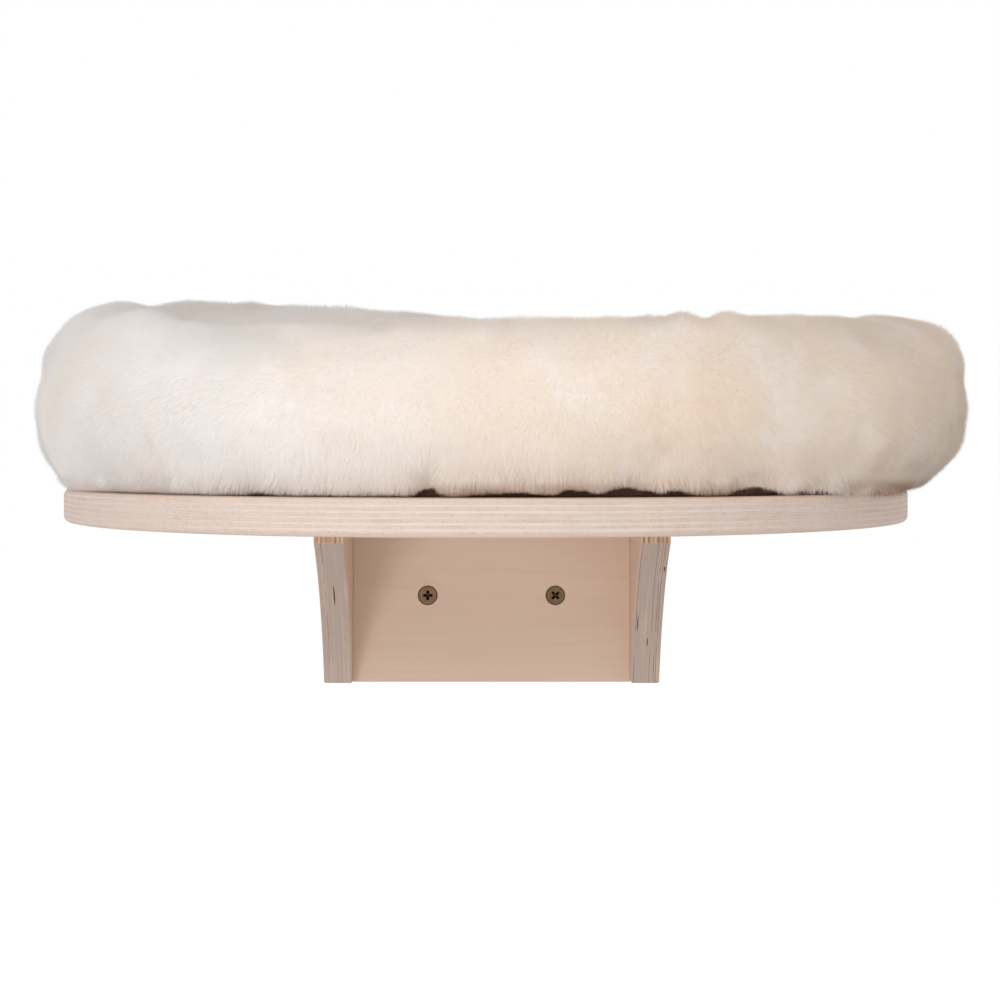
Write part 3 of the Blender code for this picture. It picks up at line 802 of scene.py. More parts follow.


def plush(name):
    finish = Finish(name, Roughness=0.92, Sheen_Weight=0.35, Sheen_Roughness=0.45)
    finish.shader.inputs["Sheen Tint"].default_value = (1.0, 0.985, 0.96, 1.0)
    finish.shader.inputs["Specular IOR Level"].default_value = 0.2
    spot = finish.place()
    broad = finish.noise(spot, 11.0, 3.0, 0.6, 0.4)
    brushed = finish.noise(spot, 24.0, 5.0, 0.62, 0.3, shift=3.0)
    sheen_speckle = finish.noise(spot, 150.0, 3.0)
    fibre = finish.noise(spot, 1500.0, 1.0)
    patch = finish.noise(spot, 22.0)
    # Cooler on the left, warmer to the right: the broad noise is random tone, and the ramp along X is painted
    # shade where the light falls off.
    tone_and_painted_shade = broad.ramp(0.35, 0.68) * 0.25 + spot[0].ramp(-0.20, 0.16) * 0.7
    colour = finish.mix(tone_and_painted_shade.least(1), srgb(239, 235, 233), srgb(238, 221, 204))
    # Whiter patches are painted sheen, where the pile is brushed one way.
    painted_sheen = brushed.ramp(0.47, 0.68) * (sheen_speckle.ramp(0.3, 0.7) * 0.6 + 0.4)
    colour = finish.mix(painted_sheen * 0.62, colour, srgb(244, 241, 240))
    colour = finish.mix(fibre.ramp(0.45, 0.8) * 0.2, colour, srgb(234, 220, 204))
    # Painted shade low on the hem where it meets the board, in brown: partly shade, partly a brown tint of
    # the roots.
    begins, full = (board_high.z + height for height in HEM_SHADE)
    hem = spot[2].ramp(begins, full) * patch.ramp(0.35, 0.6)
    hem = hem * (spot[0].ramp(-0.07, 0.03) * 0.65 + 0.1)
    colour = finish.mix(hem, colour, srgb(172, 130, 108))
    return finish.show(Base_Color=colour)


cream_plush = plush("cream_plush")

# %% [markdown]
# Sowing picks triangles with a chance that follows their area, so that the pile is as dense everywhere. A
# field of wanted spots, from 0 to 1, keeps it off the cloth that nobody sees.

# %% Sowing the pile


def sow(mesh, count, dice, wanted):
    """Roots spread evenly by area: spots, normals, and the cloth's corners round each with their shares."""
    mesh.calc_loop_triangles()
    corners = np.empty(len(mesh.loop_triangles) * 3, np.int32)
    mesh.loop_triangles.foreach_get("vertices", corners)
    corners = corners.reshape(-1, 3)
    spots, normals = coordinates(mesh), normals_of(mesh)
    a, b, c = (spots[corners[:, k]] for k in range(3))
    area = np.linalg.norm(np.cross(b - a, c - a), axis=1) / 2
    area = area * wanted[corners].mean(axis=1)
    reached = np.cumsum(area)
    picks = (np.arange(count) + dice.random(count)) / count * reached[-1]
    chosen = np.minimum(np.searchsorted(reached, picks), len(area) - 1)
    u, v = np.sqrt(dice.random(count)), dice.random(count)
    shares = np.stack([1 - u, u * (1 - v), u * v], axis=1).astype(np.float32)
    at = corners[chosen]
    mixed = [(values[at] * shares[:, :, None]).sum(axis=1) for values in (spots, normals)]
    print(count, "spikes on", round(float(reached[-1]), 3), "square metres")
    return mixed[0], unit(mixed[1]), at, shares


def unit(vectors):
    return vectors / np.maximum(np.linalg.norm(vectors, axis=1), 1e-9)[:, None]


# %% [markdown]
# A spike is the simplest closed solid, four triangles, and thousands of them fill one mesh at once from
# arrays. Each spike has a cell of its own in a map that its colour can be baked into.

# %% A mesh of spikes
ROOT_DEPTH = 0.0008
CLOTH_SHADING = 0.5  # share of the cloth's normal in the spikes' shading


def spike_mesh(name, root, normal, way, length, width):
    """Closed spikes of four triangles each, lying along the way, with soft normals."""
    count = len(root)
    aside = unit(np.cross(normal, way))
    upper = unit(normal - way * (normal * way).sum(axis=1)[:, None])
    base = root - normal * ROOT_DEPTH
    half = aside * (width / 2)[:, None]
    spots = np.stack([base + half, base - half, root + way * length[:, None],
                      base - upper * (width * 0.6)[:, None]], axis=1)
    pattern = np.array([[0, 1, 2], [1, 0, 3], [2, 1, 3], [0, 2, 3]])
    faces = (np.arange(count)[:, None, None] * 4 + pattern).reshape(-1)
    mesh = bpy.data.meshes.new(name)
    mesh.vertices.add(count * 4)
    mesh.loops.add(count * 12)
    mesh.polygons.add(count * 4)
    mesh.vertices.foreach_set("co", spots.astype(np.float32).ravel())
    mesh.loops.foreach_set("vertex_index", faces.astype(np.int32))
    mesh.polygons.foreach_set("loop_start", np.arange(0, count * 12, 3, dtype=np.int32))
    mesh.update(calc_edges=True)
    facets = np.empty(count * 12, np.float32)
    mesh.polygon_normals.foreach_get("vector", facets)
    soft = unit(facets.reshape(-1, 3) * (1 - CLOTH_SHADING) + normal.repeat(4, axis=0) * CLOTH_SHADING)
    mesh.normals_split_custom_set(soft.repeat(3, axis=0))
    add_bake_map(mesh, count)
    return mesh


def add_bake_map(mesh, count):
    """A cell of the map for each spike, so that its colour can be baked."""
    across = math.ceil(math.sqrt(count))
    number = np.arange(count)
    low = np.stack([number % across, number // across], axis=1) / across
    triangle = np.array([[0.08, 0.08], [0.92, 0.08], [0.5, 0.92]]) / across
    cells = low[:, None, None, :] + triangle[None, None, :, :].repeat(4, axis=1)
    layer = mesh.uv_layers.new(name="OFBake")
    layer.data.foreach_set("uv", cells.astype(np.float32).ravel())


# %% [markdown]
# The pile is planted in pieces. Its spikes turn, lean and grow by slow noise and a little chance, and end
# above the board, which the real ones touch and bend on.

# %% Planting the pile
PILE_LENGTH = 0.0046
PILE_WIDTH = 0.00030
PILE_LEAN = math.radians(48)  # of the spikes above the cloth
SPIKES_A_PIECE = 48000  # spikes in each piece of pile; stays below the 200,000 faces that a piece keeps when exported
SWIRL_TURN = 1.1  # how far the nap turns, in radians
LEAN_WAVE, GROWTH_WAVE = 0.35, 0.35  # how far the lean and the length change from place to place
BOARD_CLEARANCE = 0.0001
CLUMPING = 0.08
SHORTEST_SPIKE = 0.0010
EDGE_HANG = 0.0032
LEAST_FALL = 0.02  # spikes that fall less steeply than this aren't cut short


def turned_about(vectors, axes, angles):
    """Each vector, square to its axis, turned about it."""
    return vectors * np.cos(angles)[:, None] + np.cross(axes, vectors) * np.sin(angles)[:, None]


def drift(spots, cells):
    """A smooth random vector at each spot, this many cells to a metre."""
    return np.array([noise.noise_vector(Vector(spot) * cells) for spot in spots.tolist()], np.float32)


def board_reach(spots):
    """Grows outwards across the board and passes 1 where its flat top ends."""
    across = np.abs(spots[:, 0] - board_middle.x) / ((board_high.x - board_low.x) / 2 - BOARD_ROUNDING)
    ahead = np.maximum(-spots[:, 1], 0) / (-board_low.y - BOARD_ROUNDING / 2)
    return across ** BOARD_FULLNESS + ahead ** BOARD_FULLNESS


def plant(name, root, normal, way, length, width, level):
    """One piece of pile, its spikes cut short where they would reach below this level.

    Those that end in front of the board's edge may hang a little below its top.
    """
    drop = root[:, 2] - level + np.where(board_reach(root + way * length[:, None]) > 1, EDGE_HANG, 0)
    room = np.where(way[:, 2] < -LEAST_FALL, drop / np.maximum(-way[:, 2], LEAST_FALL), 1.0)
    length = np.minimum(length, np.maximum(room, SHORTEST_SPIKE))
    piece = linked(name, spike_mesh(name, root, normal, way, length, width), cream_plush)
    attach(piece, "bed")
    return piece


def add_pile(name, body, pieces, shading, dice, wanted, nap, floor_level):
    """The pile on a body, in several pieces that each spread over the whole of it.

    Real fibres let light through, so only the first few pieces cast shadows.
    """
    spots = coordinates(body.data)
    swirl = noise_at(spots, 13.0, 1) + noise_at(spots, 34.0, 2) * 0.5
    lift = noise_at(spots, 50.0, 3)
    growth = noise_at(spots, 70.0, 6)
    made = []
    for number in range(1, pieces + 1):
        root, normal, at, shares = sow(body.data, SPIKES_A_PIECE, dice, wanted)
        turn = (swirl[at] * shares).sum(axis=1) * SWIRL_TURN + dice.normal(0, 0.12, len(root))
        lean = PILE_LEAN * (1 + LEAN_WAVE * (lift[at] * shares).sum(axis=1))
        lean = lean + dice.normal(0, 0.10, len(root))
        lay = turned_about(unit(nap(root, normal)), normal, turn)
        way = lay * np.cos(lean)[:, None] + normal * np.sin(lean)[:, None]
        way = unit(way + drift(root, 420.0) * CLUMPING)
        length = PILE_LENGTH * (0.82 + 0.30 * dice.random(len(root)))
        length *= 1 + GROWTH_WAVE * (growth[at] * shares).sum(axis=1)
        width = PILE_WIDTH * (0.7 + 0.6 * dice.random(len(root)))
        piece = plant(f"{name}_{number}", root, normal, way, length, width, floor_level(root))
        piece.visible_shadow = number <= shading
        made.append(piece)
    return made


# %% [markdown]
# ## The ring
#
# The ring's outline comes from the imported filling. Its lumps are noise at two scales, and its folds are
# dents along short lines: across the crown, and slanting down the ends, where the cloth turns the tight
# corners of the oval. The inner wall keeps its crease towards the pad.

# %% Lumps and folds
ring_low, ring_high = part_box("ring_cover")
ring_middle = (ring_low + ring_high) / 2
RIDGE_SHARE = 0.35  # height of the soft ridge on each side of a fold, as a share of its depth
# start and end of each fold, its depth and half its width
RING_FOLDS = (
    ((-0.240, -0.245, 0.155), (-0.244, -0.265, 0.115), 0.0050, 0.007),
    ((-0.244, -0.265, 0.115), (-0.222, -0.300, 0.082), 0.0058, 0.009),
    ((-0.205, -0.215, 0.176), (-0.150, -0.262, 0.172), 0.0044, 0.009),
    ((-0.150, -0.262, 0.172), (-0.090, -0.285, 0.166), 0.0030, 0.009),
    ((-0.040, -0.340, 0.150), (-0.020, -0.330, 0.160), 0.0024, 0.008),
    ((0.100, -0.315, 0.158), (0.104, -0.262, 0.160), 0.0055, 0.006),
    ((0.170, -0.325, 0.152), (0.190, -0.320, 0.112), 0.0026, 0.010),
    ((0.205, -0.290, 0.155), (0.228, -0.285, 0.105), 0.0030, 0.009),
    ((0.228, -0.285, 0.105), (0.200, -0.320, 0.082), 0.0030, 0.010),
)


def distance_to(spots, start, end):
    """How far each spot lies from a line between two points."""
    start, end = np.array(start), np.array(end)
    way = end - start
    share = np.clip(((spots - start) @ way) / (way @ way), 0, 1)
    return np.linalg.norm(spots - (start + share[:, None] * way), axis=1)


def shape_cloth(piece, folds, lump, growth):
    """Lumps and folds, as small moves along the cloth's normals."""
    spots, normals = coordinates(piece.data), normals_of(piece.data)
    move = growth + lump * (noise_at(spots, 16.0, 4) + 0.6 * noise_at(spots, 40.0, 5))
    for start, end, depth, width in folds:
        away = distance_to(spots, start, end) / width
        move -= depth * np.exp(-away ** 2) - RIDGE_SHARE * depth * np.exp(-(away - 2) ** 2)
    put_coordinates(piece.data, spots + normals * move[:, None])
    piece.data.shade_smooth()


# %% [markdown]
# Outside the base cloth the hem has no stuffing and hangs down to the board. In front it has slipped up here
# and there, which shows the dark cloth. Both are moves of height alone, so they can't tear the surface. Where
# the ring lies on the cloth it is flat.

# %% The hem
filling_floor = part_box("ring_stuffing")[0].z
HEM_SAG = 0.0038
HEM_HEIGHT = 0.022  # of the part of the ring that sags, above the filling's floor
HEM_BEGINS = (0.002, 0.008)  # past the edge of the base cloth, from no sag to the whole of it
END_RISE = 0.002  # of the hem beyond the board's ends, instead of the sag
PAST_EDGE = (1.02, 1.15)  # reach across the board between which the hem leaves it
LAID_MARGIN = 0.003  # past the edge of the base cloth, as far as the bed lies flat
# stretches of the front hem, from left to right, that have slipped up: start, end and how far
HEM_GAPS = ((-0.1180, -0.1050, 0.0010), (-0.0367, -0.0240, 0.0038), (-0.0114, 0.0275, 0.0016),
            (0.0275, 0.0474, 0.0030), (0.0474, 0.0767, 0.0038), (0.0767, 0.0926, 0.0022),
            (0.1106, 0.1377, 0.0034), (0.1445, 0.1694, 0.0018))


def outline_reach(node, spots):
    """How far the outline of a flat node lies from the ring's middle, in the direction of each spot."""
    edge = coordinates(bpy.data.objects[node].data)[:, :2] - np.array(ring_middle.xy)
    edge = edge[np.argsort(np.arctan2(edge[:, 1], edge[:, 0]))]
    shares = np.linspace(0, 1, 12, endpoint=False)[:, None, None]
    edge = (edge * (1 - shares) + np.roll(edge, -1, axis=0) * shares).reshape(-1, 2)
    angles, reach = np.arctan2(edge[:, 1], edge[:, 0]), np.linalg.norm(edge, axis=1)
    order = np.argsort(angles)
    toward = np.arctan2(spots[:, 1] - ring_middle.y, spots[:, 0] - ring_middle.x)
    return np.interp(toward, angles[order], reach[order], period=2 * math.pi)


def past_cloth(spots):
    """How far each spot lies outside the base cloth's edge."""
    return (np.linalg.norm(spots[:, :2] - np.array(ring_middle.xy), axis=1)
            - outline_reach("base_cloth", spots))


def eased(values, low, high):
    """0 below low, 1 above high and smooth between them."""
    share = np.clip((values - low) / (high - low), 0, 1)
    return share * share * (3 - 2 * share)


def plan_noise(spots, across, along, level):
    """Noise from -1 to 1 over the plan, these many cells to a metre along X and along Y."""
    return np.array([noise.noise(Vector((x * across, y * along, level))) for x, y, _ in spots.tolist()])


def hem_lift(spots):
    """How far the front hem has slipped up at each spot."""
    lift = np.zeros(len(spots))
    for start, end, height in HEM_GAPS:
        middle, half = (start + end) / 2, (end - start) / 2
        lift = np.maximum(lift, height * (1 - eased(np.abs(spots[:, 0] - middle), half * 0.2, half * 1.4)))
    uneven = plan_noise(spots, 170, 60, 1.0)
    return np.where(spots[:, 1] < ring_middle.y, lift * (1 + 0.5 * uneven), 0)


def sag_hem(piece):
    """Lets the hem, which has no stuffing, hang down to the board beyond the edge of the base cloth."""
    spots = coordinates(piece.data)
    beyond = eased(past_cloth(spots), *HEM_BEGINS)
    low = 1 - eased(spots[:, 2], filling_floor, filling_floor + HEM_HEIGHT)
    free = eased(board_reach(spots), *PAST_EDGE)
    spots[:, 2] += beyond * low * (free * END_RISE - (1 - free) * HEM_SAG + hem_lift(spots))
    put_coordinates(piece.data, spots)


def lay_on_cloth(piece):
    """Flattens what would sink through the base cloth."""
    spots = coordinates(piece.data)
    laid = past_cloth(spots) < LAID_MARGIN
    spots[:, 2] = np.where(laid, np.maximum(spots[:, 2], filling_floor), spots[:, 2])
    put_coordinates(piece.data, spots)


# %% [markdown]
# The rims aren't level: the back one stands up on the left and the front one dips, and the upper corners of
# both ends are fuller than the filling. These are broad moves that fade in from the ring's middle height.

# %% The rims
RIM_HEIGHTS = (0.130, 0.155)  # between which the moves set in
LEFT_CORNER, RIGHT_CORNER = 0.003, 0.006
CORNER_WIDTHS = (0.215, 0.255)  # from the middle, between which a corner's push sets in
# stretches of a rim's top: start, end, whether it is the back rim, and the rise
RIM_RISES = ((-0.215, 0.010, True, 0.0064), (-0.185, -0.030, False, -0.0042),
             (0.170, 0.270, False, -0.0024))


def shape_rims(piece):
    """The rises and dips of the rims' tops, and the fuller upper corners of the ends."""
    spots, normals = coordinates(piece.data), normals_of(piece.data)
    x, y, z = spots.T
    high = eased(z, *RIM_HEIGHTS)
    move = np.zeros_like(spots)
    for start, end, back, rise in RIM_RISES:
        along = eased(x, start, start + 0.03) * (1 - eased(x, end - 0.05, end))
        side = eased(y, -0.15, -0.10) if back else 1 - eased(y, -0.22, -0.17)
        move[:, 2] += rise * along * side * high
    for end, push in ((-1, LEFT_CORNER), (1, RIGHT_CORNER)):
        corner = eased(end * x, *CORNER_WIDTHS) * high
        move += normals * np.array([1, 1, 0.3], np.float32) * (corner * push)[:, None]
    put_coordinates(piece.data, spots + move)


# %% [markdown]
# The ring is made in the order of the real one: filled, then sagging, then dented and laid down. Its pile
# comes last. The nap runs from the inner seam over the top and down the outside, and the lowest spikes end at
# an uneven level, because real pile is scalloped and tufted where it meets the board.

# %% The ring
board_top = board_high.z
RING_SWELL = 0.003
RING_HELD = 0.002  # height above the filling's floor that the simulation holds still
LUMP_HEIGHT = 0.0016
RING_GROWTH = 0.0012  # towards the cover's outside, so that the pile ends there
RING_UNDERSIDE = -0.93  # cloth that faces further down than this carries no pile
RING_PILES, SHADING_PILES = 10, 1
SCALLOPS, TUFTS, RAGGEDNESS = 0.0007, 0.0011, 0.0007


def ring_nap(root, normal):
    """From the inner seam over the top and down the outside."""
    out = root - np.array([ring_middle.x, ring_middle.y, 0], np.float32)
    along = unit(np.stack([-out[:, 1], out[:, 0], np.zeros(len(out))], axis=1))
    return np.cross(along, normal)


def hem_level(root):
    """The lowest level that the pile may reach, above the board."""
    scallop, tuft = plan_noise(root, 60, 60, 3.0), plan_noise(root, 330, 330, 5.0)
    ragged = np.array([noise.noise(Vector(spot) * 3100.0) for spot in root.tolist()])
    uneven = np.clip(scallop, 0, 1) * SCALLOPS + np.clip(tuft, 0, 1) * TUFTS + ragged * RAGGEDNESS
    return board_top + BOARD_CLEARANCE + uneven + hem_lift(root)


ring = evened("plush_ring", "ring_stuffing", cream_plush)
inflate(ring, filling_floor + RING_HELD, RING_SWELL)
sag_hem(ring)
shape_rims(ring)
shape_cloth(ring, RING_FOLDS, LUMP_HEIGHT, RING_GROWTH)
lay_on_cloth(ring)
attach(ring, "bed")
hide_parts("ring_cover", "ring_stuffing")
ring_wanted = (normals_of(ring.data)[:, 2] > RING_UNDERSIDE).astype(np.float32)
ring_pile = add_pile("ring_pile", ring, RING_PILES, SHADING_PILES, np.random.default_rng(5), ring_wanted,
                     ring_nap, hem_level)
print("ring:", len(ring.data.polygons), "faces,", len(ring_pile), "pieces of pile")

# %% [markdown]
# Along the hem the pile falls over the edge of the plush as a ragged fringe, which hides the seam and
# just touches the board. It is sown in a narrow band, hangs almost straight down, and gets its uneven
# tufts from noise. Where the hem has slipped up, it ends higher and shows the dark base cloth.

# %% The fringe at the hem
FRINGE_LENGTH = 0.0065
FRINGE_SPIKES = 30000
FRINGE_BAND = 0.009  # height of the band that it grows from
FRINGE_INSET = 0.004  # of the band past the edge of the base cloth
FRINGE_REACH = PAST_EDGE[0] + 0.04  # reach across the board beyond which there is none
FRINGE_UNDERSIDE = -0.97  # cloth that faces further down than this carries no fringe


def add_fringe(dice):
    spots, normals = coordinates(ring.data), normals_of(ring.data)
    band = (past_cloth(spots) > FRINGE_INSET) & (spots[:, 2] < filling_floor - HEM_SAG + FRINGE_BAND)
    band &= (normals[:, 2] > FRINGE_UNDERSIDE) & (board_reach(spots) < FRINGE_REACH)
    root, normal, _, _ = sow(ring.data, FRINGE_SPIKES, dice, band.astype(np.float32))
    tuft = drift(root, 130.0)
    outward = normal * np.array([1, 1, 0], np.float32)
    way = unit(np.array([0, 0, -1.0]) + outward * 0.75 + tuft * 0.5 + dice.normal(0, 0.1, root.shape))
    length = FRINGE_LENGTH * (0.7 + 0.45 * dice.random(len(root)))
    width = PILE_WIDTH * (0.7 + 0.6 * dice.random(len(root)))
    return plant("hem_fringe", root, normal, way, length, width, hem_level(root))


fringe = add_fringe(np.random.default_rng(7))
fringe.visible_shadow = False

# %% [markdown]
# ## The floor pad
#
# Inside the ring lies a softly crowned pad of the same plush, hidden from the front by the ring. It is
# inflated in the same way, and its nap runs towards the front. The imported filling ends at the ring's inner
# foot, where a seam would hold it, so the pad is widened until its edge lies in under the ring and closes the
# hollow. Only the part that shows carries pile.

# %% The pad
PAD_SWELL = 0.004
PAD_REACH = 0.038  # how far the pad's edge reaches in under the ring
PAD_HELD = 0.004  # height above the filling's floor that the simulation holds still
PAD_LUMPS = 0.0014
PAD_TOP = 0.3  # cloth that faces less far up than this carries no pile
PAD_SEEN = 0.010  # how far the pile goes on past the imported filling's edge


def pad_nap(root, normal):
    """Towards the front and a little to the right, along the cloth."""
    forward = np.tile(np.array([0.15, -1.0, 0.0], np.float32), (len(root), 1))
    return forward - normal * (forward * normal).sum(axis=1)[:, None]


def pad_level(root):
    """The lowest level that the pad's pile may reach."""
    return np.full(len(root), filling_floor)


pad = evened("plush_floor_pad", "pad_stuffing", cream_plush)
inflate(pad, filling_floor + PAD_HELD, PAD_SWELL)
pad_spots = coordinates(pad.data)
pad_middle = (pad_spots.max(axis=0) + pad_spots.min(axis=0)) / 2
pad_half = (pad_spots.max(axis=0) - pad_spots.min(axis=0)) / 2
wider = 1 + np.array([PAD_REACH, PAD_REACH, 0]) / pad_half
put_coordinates(pad.data, pad_middle + (pad_spots - pad_middle) * wider)
shape_cloth(pad, (), PAD_LUMPS, 0.0)
lay_on_cloth(pad)
print("pad:", (pad_half[:2] * 2 * wider[:2]).round(3), "m")
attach(pad, "bed")
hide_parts("pad_cover", "pad_stuffing")
pad_aside = np.abs(coordinates(pad.data) - pad_middle)[:, :2]
pad_wanted = (normals_of(pad.data)[:, 2] > PAD_TOP) & np.all(pad_aside < pad_half[:2] + PAD_SEEN, axis=1)
add_pile("pad_pile", pad, 1, 0, np.random.default_rng(6), pad_wanted.astype(np.float32), pad_nap, pad_level)
print("pad:", len(pad.data.polygons), "faces")

# %% [markdown]
# ## The base cloth
#
# A sheet of dark brown woven cloth closes the bed underneath. It is cut a little smaller than the ring and
# bound round its edge with tape. The binding reaches down to the board, because it is what shows brown where
# the hem has slipped up.

# %% The weave


def woven(name, colour, thread, pitch):
    """Plain weave: two sets of threads, each seen where it passes over the other."""
    finish = Finish(name, Roughness=0.85, Sheen_Weight=0.2)
    x, y, _ = finish.place()
    across, along = x / pitch, y / pitch
    over = (across.floor() + along.floor()) % 2
    rib_across = 1 - abs(across % 1 - 0.5) * 2
    rib_along = 1 - abs(along % 1 - 0.5) * 2
    rib = rib_across * over + rib_along * (1 - over)
    worn = finish.noise((x, y, 0.0), 90, 3.0)
    mixed = finish.mix(rib * 0.6 + worn * 0.4, colour, thread)
    finish.bump(rib, 0.0003, 0.7)
    return finish.show(Base_Color=mixed)


# %% [markdown]
# The sheet's mesh is made in rows from its edge to its middle, which lets it ripple a little. Its outline is
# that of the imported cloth, and the same outline is the path that the binding's oval section runs along.

# %% The sheet and its binding
EDGE_STEPS = 200
RIPPLE = 0.00012
SHEET_ROWS = (1.0, 0.985, 0.94, 0.86, 0.74, 0.6, 0.45, 0.3, 0.15)  # shares of the way from its middle


def cloth_outline(inset=0.0):
    """The base cloth's outline as evenly turned points, drawn in by this much."""
    angles = 2 * math.pi * np.arange(EDGE_STEPS) / EDGE_STEPS
    ring_spots = np.stack([ring_middle.x + np.cos(angles), ring_middle.y + np.sin(angles)], axis=1)
    reach = outline_reach("base_cloth", ring_spots) - inset
    return np.stack([ring_middle.x + np.cos(angles) * reach, ring_middle.y + np.sin(angles) * reach], 1)


def tube(name, path, width, height, sides, material):
    """A closed tube of oval section along a closed path of points."""
    count = len(path)
    ahead = np.roll(path, -1, axis=0) - np.roll(path, 1, axis=0)
    aside = unit(np.stack([ahead[:, 1], -ahead[:, 0], np.zeros(count)], axis=1))
    rows = []
    for side in range(sides):
        angle = 2 * math.pi * side / sides
        rows.append(path + aside * math.cos(angle) * width / 2
                    + np.array([0, 0, math.sin(angle) * height / 2]))
    verts = np.stack(rows, axis=1).reshape(-1, 3)
    faces = [(i * sides + k, i * sides + (k + 1) % sides,
              (i + 1) % count * sides + (k + 1) % sides, (i + 1) % count * sides + k)
             for i in range(count) for k in range(sides)]
    mesh = bpy.data.meshes.new(name)
    mesh.from_pydata(verts.tolist(), [], faces)
    mesh.update()
    mesh.shade_smooth()
    return linked(name, mesh, material)


def sheet_mesh(name, outline, level):
    """A flat sheet in rows round its middle, with a slight ripple."""
    middle = outline.mean(axis=0)
    rows = [middle + (outline - middle) * share for share in SHEET_ROWS]
    spots = [(x, y, level + RIPPLE * noise.noise(Vector((x * 70, y * 70, 0)))) for row in rows
             for x, y in row]
    count = len(outline)
    faces = [(row * count + i, row * count + (i + 1) % count,
              (row + 1) * count + (i + 1) % count, (row + 1) * count + i)
             for row in range(len(rows) - 1) for i in range(count)]
    spots.append((*middle, level))
    last = (len(rows) - 1) * count
    faces += [(last + i, last + (i + 1) % count, len(spots) - 1) for i in range(count)]
    mesh = bpy.data.meshes.new(name)
    mesh.from_pydata(spots, [], faces)
    return mesh


# %% [markdown]
# The sheet takes its level from the imported cloth and its thickness from a modifier. It rides with the bed,
# as does its binding, and its flat size and area are worked out and printed.

# %% The base cloth
SHEET_THICKNESS = 0.0010
BINDING_WIDTH, BINDING_HEIGHT, BINDING_SIDES = 0.0050, 0.0046, 10
cloth_low, cloth_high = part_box("base_cloth")
brown_weave = woven("brown_weave", srgb(66, 44, 35), srgb(104, 76, 62), 0.0008)
cloth_edge = cloth_outline(BINDING_WIDTH / 2)
cloth_level = (cloth_low.z + cloth_high.z) / 2
base_cloth = linked("woven_base_cloth", sheet_mesh("woven_base_cloth", cloth_edge, cloth_level),
                    brown_weave)
thick = base_cloth.modifiers.new("thickness", "SOLIDIFY")
thick.thickness, thick.offset = SHEET_THICKNESS, 0.0
binding_level = board_top + BOARD_CLEARANCE + BINDING_HEIGHT / 2  # its lower edge rests on the board
binding_path = np.concatenate([cloth_outline(), np.full((EDGE_STEPS, 1), binding_level)], axis=1)
binding = tube("base_cloth_binding", binding_path, BINDING_WIDTH, BINDING_HEIGHT, BINDING_SIDES,
               woven("brown_binding", srgb(82, 54, 42), srgb(104, 73, 58), 0.0006))
cloth_area = 0.5 * abs(sum(a[0] * b[1] - a[1] * b[0]
                           for a, b in zip(cloth_edge, np.roll(cloth_edge, -1, axis=0))))
cloth_flat = cloth_edge.max(axis=0) - cloth_edge.min(axis=0)
for piece in (base_cloth, binding):
    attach(piece, "bed")
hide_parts("base_cloth")
print("base cloth:", [round(float(side), 3) for side in cloth_flat], "m, area", round(float(cloth_area), 4))

# %% [markdown]
# ## Hook and loop strips
#
# They hold the bed in its place: moulded hooks on the board and fuzzy loops on the cloth. They show once the
# bed is lifted, so they are modelled too. Each hook is a bent wire of square section, and the loops are
# spikes like the pile's, in every direction.

# %% The grip strips
HOOK_PITCH = 0.0018
HOOK_WIRE = 0.00022  # half its width
HOOK_BEND = ((0.0, 0.0), (0.0, 0.55), (0.12, 0.85), (0.36, 1.0), (0.62, 0.88), (0.70, 0.62))
HOOK_HEIGHT = 0.86  # as a share of the room above the tape
HOOK_MARGIN, HOOK_BARE = 0.0015, 0.002  # tape before the first hook, and the length without hooks
STRIP_BACKING = 0.0005
STRIP_CORNER = 0.002
LOOP_SPIKES = 5000
LOOP_LENGTH, LOOP_WIDTH, LOOP_MARGIN = 0.0008, 0.00025, 0.001


def strip_finish(name, colour, light):
    finish = Finish(name, Roughness=0.6, Sheen_Weight=0.15)
    speck = finish.noise(finish.place(), 1400)
    finish.bump(speck, 0.0002, 0.5)
    return finish.show(Base_Color=finish.mix(speck.ramp(0.3, 0.8), colour, light))


grip_brown = strip_finish("grip_brown", srgb(58, 50, 46), srgb(92, 82, 76))


def backing(name, low, high, bottom, body):
    """The woven tape of a strip, with rounded corners."""
    outline = []
    corner = STRIP_CORNER
    for x, y, first in ((high.x - corner, high.y - corner, 0), (low.x + corner, high.y - corner, 90),
                        (low.x + corner, low.y + corner, 180), (high.x - corner, low.y + corner, 270)):
        for step in range(5):
            angle = math.radians(first + step * 22.5)
            outline.append((x + corner * math.cos(angle), y + corner * math.sin(angle)))
    piece = flat_piece(name, outline, STRIP_BACKING,
                       Matrix.Translation((0, 0, bottom + STRIP_BACKING / 2)), 0.0001, 1, grip_brown)
    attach(piece, body)
    return piece


def hooks(name, low, high, bottom, top):
    """Rows of moulded hooks: wires that rise and bend over, in alternate directions."""
    shape = bmesh.new()
    rise = top - bottom
    columns = int((high.x - low.x - HOOK_BARE) / HOOK_PITCH)
    rows = int((high.y - low.y - HOOK_BARE) / HOOK_PITCH)
    for column in range(columns):
        for row in range(rows):
            x = low.x + HOOK_MARGIN + column * HOOK_PITCH
            y = low.y + HOOK_MARGIN + row * HOOK_PITCH
            side = 1 if (row + column) % 2 else -1
            rings = []
            for out, up in HOOK_BEND:
                centre = Vector((x + side * out * rise, y, bottom + up * rise * HOOK_HEIGHT))
                rings.append([shape.verts.new(centre + Vector((dx * HOOK_WIRE, dy * HOOK_WIRE, 0)))
                              for dx, dy in ((-1, -1), (1, -1), (1, 1), (-1, 1))])
            for first, second in zip(rings, rings[1:]):
                for k in range(4):
                    shape.faces.new((first[k - 1], first[k], second[k], second[k - 1]))
            shape.faces.new(rings[-1])
    mesh = bpy.data.meshes.new(name)
    shape.to_mesh(mesh)
    shape.free()
    return linked(name, mesh, grip_brown)


